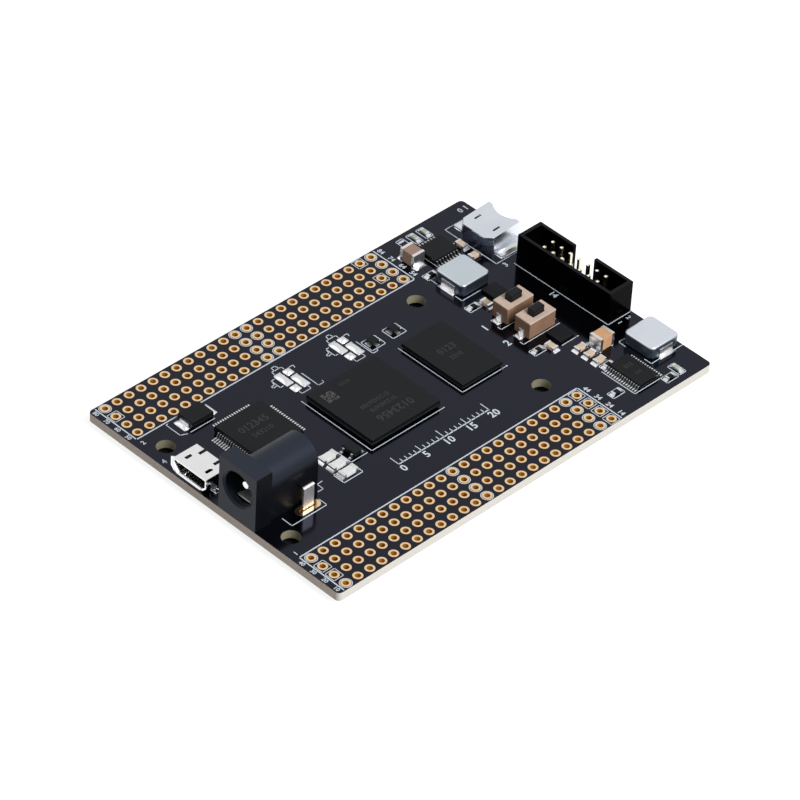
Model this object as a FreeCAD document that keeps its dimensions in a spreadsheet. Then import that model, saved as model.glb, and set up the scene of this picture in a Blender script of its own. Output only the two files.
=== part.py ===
import FreeCAD, Part
import math
import os
import Sketcher

# A programmable-logic development board, built as its separate pieces.
# Frame: X along the board away from the power jack, Y across it, Z up.
# The origin is at the middle of the board, level with the tips of the solder tails it stands on.
# Parts near the jack end are placed from that end, parts beyond the header strips from the far end,
# both in millimetres, and the chips between them at fractions of the board's length and width.

doc = FreeCAD.newDocument("DevelopmentBoard")

# ---------------------------------------------------------------------------
# driving sizes
# ---------------------------------------------------------------------------

SIZES = {
    # circuit board
    "board_length": 83.2, "board_width": 57.0, "board_thickness": 1.6, "board_corner": 0.8,
    "tail_drop": 1.4, "foil": 0.04, "plating": 0.03,
    "mount_radius": 1.6, "mount_inset": 3.58, "mount_far_inset": 24.62, "mount_gauge": 28.4,
    # header strips, four rows of plated holes each
    "hole_pitch": 2.54, "power_zone": 20.0, "hole_rows": 4, "hole_radius": 0.5, "ring_radius": 0.85,
    "strip_inset": 2.58, "strip_edge": 1.19,
    # logic chip
    "logic_along": 0.4216, "logic_across": 0.5035, "logic_side": 15.0,
    "logic_substrate": 0.36, "logic_cap": 0.74,
    "ball_height": 0.34, "ball_radius": 0.22, "ball_pitch": 0.8, "logic_ball_rows": 18,
    # memory chip
    "memory_along": 0.6332, "memory_across": 0.5035, "memory_length": 9.0, "memory_width": 14.0,
    "memory_substrate": 0.24, "memory_cap": 0.56, "memory_ball_rows": 16, "memory_ball_columns": 3,
    # bridge chip
    "bridge_along": 0.1969, "bridge_across": 0.6175, "bridge_side": 10.0, "bridge_height": 1.4,
    "bridge_span": 12.0, "bridge_leads": 16,
    # gull-wing leads of the bridge chip and the two converters
    "lead_pitch": 0.5, "lead_width": 0.22, "lead_thickness": 0.14, "lead_foot": 0.5, "chip_gap": 0.08,
    "mould_draft": 8,
    # power jack
    "jack_across": 0.3991, "jack_flange": 3.3, "jack_flange_width": 8.3, "jack_flange_height": 10.5,
    "jack_length": 13.6, "jack_radius": 3.7, "jack_axis": 6.05, "jack_bore": 3.0, "jack_bore_depth": 9.6,
    "jack_lead_in": 0.35, "jack_pin_radius": 1.0, "jack_pin_setback": 1.7, "jack_shank_radius": 1.25,
    "jack_metal": 0.3,
    "jack_tab_x": 10.25, "jack_tab_y": 5.15, "jack_tab_width": 2.2, "jack_tab_height": 4.5,
    "jack_rear_width": 2.6, "jack_rear_height": 7.6, "jack_spring_width": 3.0, "jack_spring_x": 8.2,
    "jack_spring_front": 1.5, "jack_spring_rise": 1.0, "jack_spring_seat": 2.4,
    "jack_slot_room": 0.45, "jack_slot_ring": 0.6, "jack_groove_room": 0.12,
    # micro-USB socket
    "usb_x": 0.35, "usb_across": 0.5982, "usb_length": 5.2, "usb_half": 3.7, "usb_height": 2.65,
    "usb_lift": 0.3, "usb_chamfer": 1.1, "usb_wall": 0.22, "usb_flare": 0.28, "usb_flare_length": 0.7,
    "usb_window_length": 1.4, "usb_window_width": 0.6, "usb_window_x": 2.2, "usb_window_y": 2.3,
    "usb_notch_y": 1.7,
    "usb_ear_length": 1.4, "usb_ear_width": 1.5, "usb_ear_x": 2.0, "usb_block": 2.0,
    "usb_tongue_width": 3.8, "usb_tongue_height": 0.6, "usb_tongue_setback": 0.9,
    "usb_contact_pitch": 0.65, "usb_contact_width": 0.3, "usb_contact_thickness": 0.14,
    # shrouded debug header
    "shroud_inset": 2.68, "shroud_width": 5.3, "shroud_length": 21.0, "shroud_height": 6.0,
    "shroud_wall": 0.65, "shroud_end_wall": 0.75, "shroud_floor": 1.1, "shroud_key": 4.6,
    "pin_pitch": 2.0, "pin_columns": 7, "pin_side": 0.5, "pin_height": 5.4, "pin_tip": 0.12,
    "pin_hole": 0.45, "pin_ring": 0.72, "solder_foot": 0.62, "solder_top": 0.42, "solder_height": 0.8,
    # coin-cell retainer
    "clip_inset": 3.13, "clip_across": 0.8254, "clip_width": 6.0, "clip_half_foot": 5.5,
    "clip_half_wall": 3.8, "clip_half_top": 3.6, "clip_height": 2.95, "clip_rise": 0.4,
    "clip_sheet": 0.25, "clip_lip": 1.15, "clip_bite": 1.0, "clip_bite_radius": 4.2,
    "clip_slot_length": 1.5, "clip_slot_width": 0.4, "clip_slot_x": 1.05, "clip_slot_y": 2.15,
    "clip_tab_radius": 0.78, "cell_contact_radius": 2.9, "clip_pad_length": 1.9,
    "clip_pad_width": 5.4, "tin": 0.08,
    # power inductors
    "coil_side": 6.5, "coil_height": 2.4, "coil_lift": 0.15, "coil_corner": 0.9, "coil_round": 0.35,
    "coil_strap_width": 3.0, "coil_strap": 0.15, "coil_strap_height": 1.5, "coil_foot": 0.45,
    "coil_under": 1.3, "main_coil_x": 15.32, "main_coil_across": 0.7281, "side_coil_x": 3.75,
    "side_coil_across": 0.1763,
    # push buttons
    "button_x": 14.92, "reset_across": 0.4447, "program_across": 0.5333, "button_length": 6.0,
    "button_width": 3.4,
    "button_base": 2.9, "button_cover": 0.3, "button_room_length": 3.7,
    "button_room_width": 2.3, "plunger_length": 2.6, "plunger_width": 1.4, "plunger_top": 4.4,
    "plunger_flange": 0.5, "plunger_lip": 0.35, "plunger_gap": 0.06, "plunger_travel": 0.25,
    "dome_radius": 1.0, "dome_height": 0.3, "dome_sheet": 0.08, "button_strap_width": 1.1,
    "button_strap": 0.2, "button_strap_height": 1.3, "button_foot": 0.9,
    # power diode
    "diode_along": 0.1416, "diode_across": 0.786, "diode_length": 4.6, "diode_width": 3.5,
    "diode_height": 1.1,
    "diode_tab_width": 2.1, "diode_tab": 0.2, "diode_tab_length": 0.9,
    # converters
    "converter_height": 0.9, "converter_span": 1.0, "main_converter_x": 13.0,
    "main_converter_across": 0.8711, "main_converter_length": 5.5, "main_converter_width": 4.4,
    "main_converter_leads": 8, "main_converter_pitch": 0.65, "side_converter_x": 11.42,
    "side_converter_across": 0.1158, "side_converter_length": 7.0, "side_converter_width": 4.4,
    "side_converter_leads": 14,
    # five-lead regulator and its leads
    "regulator_along": 0.2942, "regulator_across": 0.3965, "regulator_length": 2.9, "regulator_width": 1.6,
    "regulator_height": 1.0, "regulator_pitch": 0.95, "regulator_lead": 0.4, "regulator_reach": 0.6,
    # thin power switches and three-terminal chips
    "switch_x": 13.30, "reset_switch_across": 0.3711, "program_switch_across": 0.6307, "switch_side": 3.2,
    "switch_height": 0.5, "tripod_side": 1.5, "tripod_height": 0.7, "tripod_tab": 0.5,
    "tripod_one_along": 0.5505, "tripod_two_along": 0.607, "tripod_across": 0.6982,
    # chip components: length, width, height and end cap
    "bulk_length": 3.2, "bulk_width": 2.5, "bulk_height": 2.5, "bulk_end": 0.55,
    "capacitor_length": 2.0, "capacitor_width": 1.2, "capacitor_height": 0.75, "capacitor_end": 0.4,
    "resistor_length": 1.6, "resistor_width": 0.8, "resistor_height": 0.45, "resistor_end": 0.32,
    "led_length": 1.6, "led_width": 0.8, "led_height": 0.5, "led_end": 0.3,
    "fuse_length": 3.1, "fuse_width": 1.5, "fuse_height": 0.8, "fuse_end": 0.55,
    "fuse_along": 0.2467, "fuse_across": 0.3781, "fuse_pitch": 2.25,
    "end_proud": 0.03, "gate_resistor_x": 13.0, "component_gap": 0.22,
    # four-pad footprints
    "footprint_one_along": 0.3558, "footprint_two_along": 0.5006, "footprint_across": 0.7289,
    "footprint_pad": 1.4, "footprint_long": 3.2, "footprint_short": 1.4, "footprint_gap": 0.5,
}

# Places of the chip components beyond the header strips: kind, distance from the far end,
# fraction of the board's width, and whether it lies across the board.
PLACES = (
    ("bulk", 17.82, 0.8886, True), ("bulk", 10.02, 0.264, False), ("capacitor", 13.42, 0.2895, False),
    ("capacitor", 13.42, 0.2526, False), ("capacitor", 13.42, 0.2158, False),
    ("capacitor", 16.72, 0.3474, True), ("capacitor", 16.72, 0.6053, True),
    ("capacitor", 8.90, 0.8439, True), ("capacitor", 9.30, 0.7851, False),
    ("resistor", 18.80, 0.3649, False), ("resistor", 18.80, 0.6228, False),
    ("resistor", 18.10, 0.8061, False), ("resistor", 7.70, 0.0368, False),
    ("resistor", 17.02, 0.0895, False), ("led", 5.30, 0.0491, True), ("led", 13.30, 0.9588, True),
    ("led", 11.00, 0.9588, True),
)
for number, (kind, from_far_end, fraction, turned) in enumerate(PLACES, 1):
    SIZES[f"{kind}_{number}_x"] = from_far_end
    SIZES[f"{kind}_{number}_across"] = fraction


class Size:
    """A length that knows its value and the sheet expression that it comes from."""

    def __init__(self, value, text):
        self.value = value
        self.text = text

    def join(self, sign, other, work):
        other = as_size(other)
        return Size(work(self.value, other.value), f"({self.text} {sign} {other.text})")

    def __add__(self, other):
        return self.join("+", other, lambda a, b: a + b)

    def __sub__(self, other):
        return self.join("-", other, lambda a, b: a - b)

    def __mul__(self, other):
        return self.join("*", other, lambda a, b: a * b)

    def __truediv__(self, other):
        return self.join("/", other, lambda a, b: a / b)

    def __radd__(self, other):
        return as_size(other) + self

    def __rsub__(self, other):
        return as_size(other) - self

    def __rmul__(self, other):
        return as_size(other) * self

    def __neg__(self):
        return as_size(0) - self

    def whole(self):
        return Size(math.floor(self.value), f"floor({self.text})")


def as_size(number):
    return number if isinstance(number, Size) else Size(float(number), repr(float(number)))


class Sheet:
    """The spreadsheet of driving sizes; each size is an attribute of the same name."""

    def __init__(self, sizes):
        self.cells = doc.addObject("Spreadsheet::Sheet", "Sizes")
        for row, (alias, number) in enumerate(sizes.items(), 1):
            self.cells.set(f"A{row}", alias)
            self.cells.set(f"B{row}", str(number))
            self.cells.setAlias(f"B{row}", alias)
        doc.recompute()
        for alias in sizes:
            setattr(self, alias, Size(float(self.cells.get(alias)), f"Sizes.{alias}"))


s = Sheet(SIZES)

# levels and edges that everything else is placed from
underside = s.tail_drop
top = s.tail_drop + s.board_thickness
jack_edge = -(s.board_length / 2)
near_edge = -(s.board_width / 2)
far_end = s.board_length / 2
far_edge = s.board_width / 2
tail = -(s.board_thickness + s.tail_drop)
hole_columns = ((s.board_length - s.strip_inset - s.power_zone) / s.hole_pitch).whole() + 1
ball_step = s.ball_pitch


def along(fraction):
    return jack_edge + s.board_length * fraction


def across(fraction):
    return near_edge + s.board_width * fraction


# ---------------------------------------------------------------------------
# modelling helpers
# ---------------------------------------------------------------------------

pieces = []


def piece(name, thing):
    """Give a finished sub-part its name and keep it for the export."""
    thing.Label = name
    pieces.append(thing)
    return thing


def bind(thing, prop, size):
    thing.setExpression(prop, as_size(size).text)


def put(thing, x, y, z):
    bind(thing, "Placement.Base.x", x)
    bind(thing, "Placement.Base.y", y)
    bind(thing, "Placement.Base.z", z)
    return thing


def turn(thing, angle, axis=(0, 0, 1)):
    thing.Placement.Rotation = FreeCAD.Rotation(FreeCAD.Vector(*axis), angle)
    return thing


def box(corner, length, width, height):
    block = doc.addObject("Part::Box", "Block")
    bind(block, "Length", length)
    bind(block, "Width", width)
    bind(block, "Height", height)
    return put(block, *corner)


def centred(x, y, z, length, width, height):
    """A block centred on x and y that stands on z."""
    return box((x - length / 2, y - width / 2, z), length, width, height)


def rod(x, y, z, radius, height, along=None):
    """A round bar upwards from a point, or along +X or +Y."""
    bar = doc.addObject("Part::Cylinder", "Rod")
    bind(bar, "Radius", radius)
    bind(bar, "Height", height)
    if along == "x":
        turn(bar, 90, (0, 1, 0))
    if along == "y":
        turn(bar, -90, (1, 0, 0))
    return put(bar, x, y, z)


def fuse(*things):
    joined = doc.addObject("Part::MultiFuse", "Join")
    joined.Shapes = list(things)
    joined.Refine = True
    return joined


def cut(base, *tools):
    trimmed = doc.addObject("Part::Cut", "Cut")
    trimmed.Base = base
    trimmed.Tool = tools[0] if len(tools) == 1 else group(*tools)
    return trimmed


def common(one, other):
    shared = doc.addObject("Part::Common", "Common")
    shared.Base = one
    shared.Tool = other
    return shared


def group(*things):
    """Several separate solids kept as one sub-part."""
    together = doc.addObject("Part::Compound", "Group")
    together.Links = list(things)
    return together


def new_body():
    return doc.addObject("PartDesign::Body", "Body")


def origin_part(body, role):
    return next(item for item in body.Origin.OriginFeatures if item.Role == role)


def sketch(body, plane="XY_Plane", offset=0):
    flat = body.newObject("Sketcher::SketchObject", "Outline")
    flat.AttachmentSupport = (origin_part(body, plane), "")
    flat.MapMode = "FlatFace"
    bind(flat, "AttachmentOffset.Base.z", offset)
    return flat


def fix(flat, index, point, x, y):
    """Hold one point of a sketch element at a place read from the sheet."""
    for kind, place in (("DistanceX", as_size(x)), ("DistanceY", as_size(y))):
        held = flat.addConstraint(Sketcher.Constraint(kind, -1, 1, index, point, place.value))
        bind(flat, f"Constraints[{held}]", place)


def polygon(flat, points):
    corners = [(as_size(x), as_size(y)) for x, y in points]
    spots = [FreeCAD.Vector(x.value, y.value, 0) for x, y in corners]
    sides = []
    for start, end in zip(spots, spots[1:] + spots[:1]):
        sides.append(flat.addGeometry(Part.LineSegment(start, end), False))
    for this, following in zip(sides, sides[1:] + sides[:1]):
        flat.addConstraint(Sketcher.Constraint("Coincident", this, 2, following, 1))
    for side, (x, y) in zip(sides, corners):
        fix(flat, side, 1, x, y)
    return flat


def rectangle(flat, x, y, length, width):
    x, y, a, b = as_size(x), as_size(y), as_size(length) / 2, as_size(width) / 2
    return polygon(flat, ((x - a, y - b), (x + a, y - b), (x + a, y + b), (x - a, y + b)))


def circle(flat, x, y, radius):
    x, y, radius = as_size(x), as_size(y), as_size(radius)
    centre = FreeCAD.Vector(x.value, y.value, 0)
    index = flat.addGeometry(Part.Circle(centre, FreeCAD.Vector(0, 0, 1), radius.value), False)
    held = flat.addConstraint(Sketcher.Constraint("Radius", index, radius.value))
    bind(flat, f"Constraints[{held}]", radius)
    fix(flat, index, 3, x, y)
    return flat


def pad(body, flat, length, symmetric=False):
    doc.recompute()
    solid = body.newObject("PartDesign::Pad", "Pad")
    solid.Profile = flat
    solid.SideType = "Symmetric" if symmetric else "One side"
    bind(solid, "Length", length)
    doc.recompute()
    return solid


def pocket(body, flat, depth):
    """Cut a sketch downwards, against its plane's normal."""
    doc.recompute()
    before = body.Shape.Volume
    hollow = body.newObject("PartDesign::Pocket", "Pocket")
    hollow.Profile = flat
    bind(hollow, "Length", depth)
    doc.recompute()
    if body.Shape.Volume >= before:
        raise ValueError("a pocket cut nothing in " + body.Name)
    return hollow


def revolve(body, points):
    """Turn a polygon in the XZ plane about the vertical axis."""
    flat = polygon(sketch(body, "XZ_Plane"), points)
    doc.recompute()
    solid = body.newObject("PartDesign::Revolution", "Revolution")
    solid.Profile = flat
    solid.ReferenceAxis = (flat, ["V_Axis"])
    solid.Angle = 360
    doc.recompute()
    return solid


def row(body, axis, pitch, count, inside=None):
    """Repeat along one axis; within a MultiTransform when inside is given."""
    pattern = body.newObject("PartDesign::LinearPattern", "Row")
    if inside is None:
        pattern.Originals = [body.Tip]
    pattern.Direction = (origin_part(body, axis), [""])
    bind(pattern, "Length", pitch * (count - 1))
    bind(pattern, "Occurrences", count)
    return pattern


def grid(body, feature, pitch, columns, rows):
    """Repeat a feature in columns along X and rows along Y."""
    pattern = body.newObject("PartDesign::LinearPattern", "Grid")
    pattern.Originals = [feature]
    pattern.Direction = (origin_part(body, "X_Axis"), [""])
    pattern.Direction2 = (origin_part(body, "Y_Axis"), [""])
    bind(pattern, "Length", pitch * (columns - 1))
    bind(pattern, "Occurrences", columns)
    bind(pattern, "Length2", pitch * (rows - 1))
    bind(pattern, "Occurrences2", rows)
    body.Tip = pattern
    doc.recompute()
    return pattern


def edges_where(shape, test):
    return [f"Edge{n}" for n, edge in enumerate(shape.Edges, 1) if test(edge)]


def upright(edge):
    return abs(edge.tangentAt(edge.FirstParameter).z) > 0.99


def at_height(level):
    def test(edge):
        return all(abs(v.Z - level) < 1e-4 for v in edge.Vertexes)
    return test


def round_edges(body, test, radius, kind="Fillet"):
    base = body.Tip
    eased = body.newObject("PartDesign::" + kind, kind)
    eased.Base = (base, edges_where(base.Shape, test))
    bind(eased, "Radius" if kind == "Fillet" else "Size", radius)
    doc.recompute()
    return eased


def moulded(name, length, width, height, x, y, angle=0):
    """A moulded chip body: two drafted halves either side of the lead frame."""
    body = new_body()
    flat = rectangle(sketch(body, offset=s.chip_gap + height / 2), 0, 0, length, width)
    doc.recompute()
    solid = body.newObject("PartDesign::Pad", "Pad")
    solid.Profile = flat
    solid.SideType = "Two sides"
    bind(solid, "Length", height / 2)
    bind(solid, "Length2", height / 2)
    bind(solid, "TaperAngle", -s.mould_draft)
    bind(solid, "TaperAngle2", -s.mould_draft)
    turn(body, angle)
    return piece(name, put(body, x, y, top))


def gull_leads(name, reach, height, span, pitch, count, sides, x, y, angle=0):
    """Rows of gull-wing leads around a chip: foot, slope and shoulder at mid-height."""
    body = new_body()
    thick = s.lead_thickness
    shoulder = s.chip_gap + (height + thick) / 2
    bend = reach + (span - s.lead_foot - reach) / 3
    heel = span - s.lead_foot
    flat = sketch(body, "XZ_Plane", pitch * (count - 1) / 2)
    polygon(flat, (
        (reach, shoulder), (bend, shoulder), (heel, thick), (span, thick), (span, 0),
        (heel - thick, 0), (bend - thick, shoulder - thick), (reach, shoulder - thick)))
    lead = pad(body, flat, s.lead_width, symmetric=True)
    several = body.newObject("PartDesign::MultiTransform", "Leads")
    several.Originals = [lead]
    line = row(body, "Y_Axis", pitch, count, several)
    ring = body.newObject("PartDesign::PolarPattern", "Sides")
    ring.Axis = (origin_part(body, "Z_Axis"), [""])
    ring.Angle = 360
    ring.Occurrences = sides
    several.Transformations = [line, ring]
    body.Tip = several
    turn(body, angle)
    return piece(name, put(body, x, y, top))


# ---------------------------------------------------------------------------
# circuit board and its plated holes
# ---------------------------------------------------------------------------

def slot_places():
    """Middle, length along X, length along Y of the three jack slots and its metal in each."""
    room = s.jack_slot_room
    return (
        (jack_edge + s.jack_tab_x, jack_line - s.jack_tab_y, s.jack_tab_width + room, s.jack_metal + room),
        (jack_edge + s.jack_length + s.jack_metal / 2, jack_line, s.jack_metal + room,
         s.jack_rear_width + room),
        (jack_edge + s.jack_spring_x + s.jack_metal / 2, jack_line, s.jack_metal + room,
         s.jack_spring_width + room))


def racetrack(x, y, z, length, width, height, along_x):
    """A slot shape with half-round ends: length and width are those of the straight part."""
    if along_x:
        ends = [rod(x + side * length / 2, y, z, width / 2, height) for side in (-1, 1)]
    else:
        ends = [rod(x, y + side * width / 2, z, length / 2, height) for side in (-1, 1)]
    return fuse(centred(x, y, z, length, width, height), *ends)


def circuit_board():
    body = new_body()
    flat = rectangle(sketch(body, offset=underside), 0, 0, s.board_length, s.board_width)
    pad(body, flat, s.board_thickness)
    round_edges(body, upright, s.board_corner)
    flat = sketch(body, offset=top)
    for x in (jack_edge + s.mount_inset, far_end - s.mount_far_inset):
        for side in (-1, 1):
            circle(flat, x, side * s.mount_gauge / 2, s.mount_radius)
    pocket(body, flat, s.board_thickness)
    flat = sketch(body, offset=top)
    for y in (near_edge + s.strip_edge, far_strip):
        circle(flat, jack_edge + s.strip_inset, y, s.hole_radius + s.plating)
    grid(body, pocket(body, flat, s.board_thickness), s.hole_pitch, hole_columns, s.hole_rows)
    flat = circle(sketch(body, offset=top), shroud_x - s.pin_pitch / 2, -first_pin, s.pin_hole)
    grid(body, pocket(body, flat, s.board_thickness), s.pin_pitch, as_size(2), s.pin_columns)
    slots = [racetrack(x, y, underside, a, b, s.board_thickness, a.value > b.value)
             for x, y, a, b in slot_places()]
    piece("circuit_board", cut(body, *slots))


def ring_profile(bore, hole, ring):
    """Half section of a plated hole: barrel through the board and a flange on each face."""
    return ((bore, -s.foil), (ring, -s.foil), (ring, 0), (hole, 0), (hole, s.board_thickness),
            (ring, s.board_thickness), (ring, s.board_thickness + s.foil),
            (bore, s.board_thickness + s.foil))


def header_strip(name, first_row):
    body = new_body()
    profile = ring_profile(s.hole_radius, s.hole_radius + s.plating, s.ring_radius)
    grid(body, revolve(body, profile), s.hole_pitch, hole_columns, s.hole_rows)
    piece(name, put(body, jack_edge + s.strip_inset, first_row, underside))


def connector_barrels():
    """Plated holes of the debug header and plated slots of the jack."""
    body = new_body()
    profile = ring_profile(s.pin_hole - s.plating, s.pin_hole, s.pin_ring)
    grid(body, revolve(body, profile), s.pin_pitch, as_size(2), s.pin_columns)
    put(body, shroud_x - s.pin_pitch / 2, -first_pin, underside)
    parts = [body]
    for x, y, a, b in slot_places():
        along_x = a.value > b.value
        wide = s.jack_slot_ring if along_x else 0
        tall = 0 if along_x else s.jack_slot_ring
        low, high = underside - s.foil, s.board_thickness + s.foil * 2
        flanges = [racetrack(x, y, z, a + wide / 2, b + s.jack_slot_ring * 2, s.foil, True) if along_x else
                   racetrack(x, y, z, a + s.jack_slot_ring * 2, b + tall / 2, s.foil, False)
                   for z in (low, top)]
        sleeve = racetrack(x, y, low, a, b, high, along_x)
        if along_x:
            bore = racetrack(x, y, low, a, b - s.plating * 2, high, True)
        else:
            bore = racetrack(x, y, low, a - s.plating * 2, b, high, False)
        parts.append(cut(fuse(sleeve, *flanges), bore))
    piece("connector_barrels", group(*parts))


# ---------------------------------------------------------------------------
# chips
# ---------------------------------------------------------------------------

def ball_profile():
    bulge, neck = s.ball_radius, s.ball_radius * 0.7
    return ((0, 0), (neck, 0), (bulge, s.ball_height / 2), (neck, s.ball_height), (0, s.ball_height))


def logic_chip():
    x, y = along(s.logic_along), across(s.logic_across)
    body = new_body()
    grid(body, revolve(body, ball_profile()), ball_step, s.logic_ball_rows, s.logic_ball_rows)
    reach = ball_step * (s.logic_ball_rows - 1) / 2
    piece("logic_balls", put(body, x - reach, y - reach, top))
    level = top + s.ball_height
    piece("logic_substrate", centred(x, y, level, s.logic_side, s.logic_side, s.logic_substrate))
    level = level + s.logic_substrate
    piece("logic_cap", centred(x, y, level, s.logic_side, s.logic_side, s.logic_cap))


def memory_chip():
    x, y = along(s.memory_along), across(s.memory_across)
    body = new_body()
    ball = revolve(body, ball_profile())
    several = body.newObject("PartDesign::MultiTransform", "Balls")
    several.Originals = [ball]
    lines = [row(body, "Y_Axis", ball_step, s.memory_ball_rows, several),
             row(body, "X_Axis", ball_step, s.memory_ball_columns, several),
             row(body, "X_Axis", ball_step * (s.memory_ball_columns * 2), as_size(2), several)]
    several.Transformations = lines
    body.Tip = several
    half_columns = ball_step * (s.memory_ball_columns * 3 - 1) / 2
    piece("memory_balls", put(body, x - half_columns, y - ball_step * (s.memory_ball_rows - 1) / 2, top))
    level = top + s.ball_height
    piece("memory_substrate",
          centred(x, y, level, s.memory_length, s.memory_width, s.memory_substrate))
    level = level + s.memory_substrate
    piece("memory_cap", centred(x, y, level, s.memory_length, s.memory_width, s.memory_cap))


def leaded_chips():
    x, y = along(s.bridge_along), across(s.bridge_across)
    moulded("bridge_body", s.bridge_side, s.bridge_side, s.bridge_height, x, y)
    gull_leads("bridge_leads", s.bridge_side / 2, s.bridge_height, s.bridge_span / 2,
               s.lead_pitch, s.bridge_leads, 4, x, y)
    x, y = far_end - s.main_converter_x, across(s.main_converter_across)
    wide, high = s.main_converter_width, s.converter_height
    moulded("main_converter_body", wide, s.main_converter_length, high, x, y, 90)
    gull_leads("main_converter_leads", wide / 2, high, wide / 2 + s.converter_span,
               s.main_converter_pitch, s.main_converter_leads, 2, x, y, 90)
    x, y = far_end - s.side_converter_x, across(s.side_converter_across)
    wide = s.side_converter_width
    moulded("side_converter_body", wide, s.side_converter_length, high, x, y)
    gull_leads("side_converter_leads", wide / 2, high, wide / 2 + s.converter_span,
               s.lead_pitch, s.side_converter_leads, 2, x, y)


def regulator():
    """Five-lead regulator: two leads face the jack, three face the logic chip."""
    x, y = along(s.regulator_along), across(s.regulator_across)
    moulded("regulator_body", s.regulator_width, s.regulator_length, s.regulator_height, x, y)
    leads = []
    thick = s.lead_thickness
    for side, steps in ((-1, (-1, 1)), (1, (-1, 0, 1))):
        for step in steps:
            body = new_body()
            half, tip = s.regulator_width / 2, s.regulator_width / 2 + s.regulator_reach
            shoulder = s.chip_gap + (s.regulator_height + thick) / 2
            bend, heel = half + s.regulator_reach / 3, tip - s.regulator_reach / 3
            flat = sketch(body, "XZ_Plane")
            polygon(flat, (
                (half, shoulder), (bend, shoulder), (heel, thick), (tip, thick), (tip, 0),
                (heel - thick, 0), (bend - thick, shoulder - thick), (half, shoulder - thick)))
            pad(body, flat, s.regulator_lead, symmetric=True)
            turn(body, 0 if side > 0 else 180)
            leads.append(put(body, x, y + step * s.regulator_pitch, top))
    piece("regulator_leads", group(*leads))


def thin_chips():
    x = far_end - s.switch_x
    piece("power_switches", group(*[
        centred(x, across(place), top, s.switch_side, s.switch_side, s.switch_height)
        for place in (s.reset_switch_across, s.program_switch_across)]))
    bodies, tabs = [], []
    y = across(s.tripod_across)
    for place in (s.tripod_one_along, s.tripod_two_along):
        x = along(place)
        side, tab, thick = s.tripod_side, s.tripod_tab, s.lead_thickness
        bodies.append(centred(x, y, top, side, side, s.tripod_height))
        for step in (-1, 1):
            tabs.append(centred(x + step * (side + tab) / 2, y, top, tab, side * 0.75, thick))
        tabs.append(centred(x, y - (side + tab) / 2, top, side / 2, tab, thick))
    piece("tripod_bodies", group(*bodies))
    piece("tripod_tabs", group(*tabs))


def power_diode():
    x, y = along(s.diode_along), across(s.diode_across)
    moulded("diode_body", s.diode_length, s.diode_width, s.diode_height, x, y)
    reach = s.diode_length / 2 + s.diode_tab_length
    tabs = []
    for side in (-1, 1):
        tab = centred(x + side * (s.diode_length + s.diode_tab_length) / 2, y, top,
                      s.diode_tab_length, s.diode_tab_width, s.diode_tab)
        riser = centred(x + side * (s.diode_length + s.diode_tab) / 2, y, top,
                        s.diode_tab, s.diode_tab_width, s.chip_gap + s.diode_height / 2)
        tabs.append(fuse(tab, riser))
    piece("diode_tabs", group(*tabs))


# ---------------------------------------------------------------------------
# connectors
# ---------------------------------------------------------------------------

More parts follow.
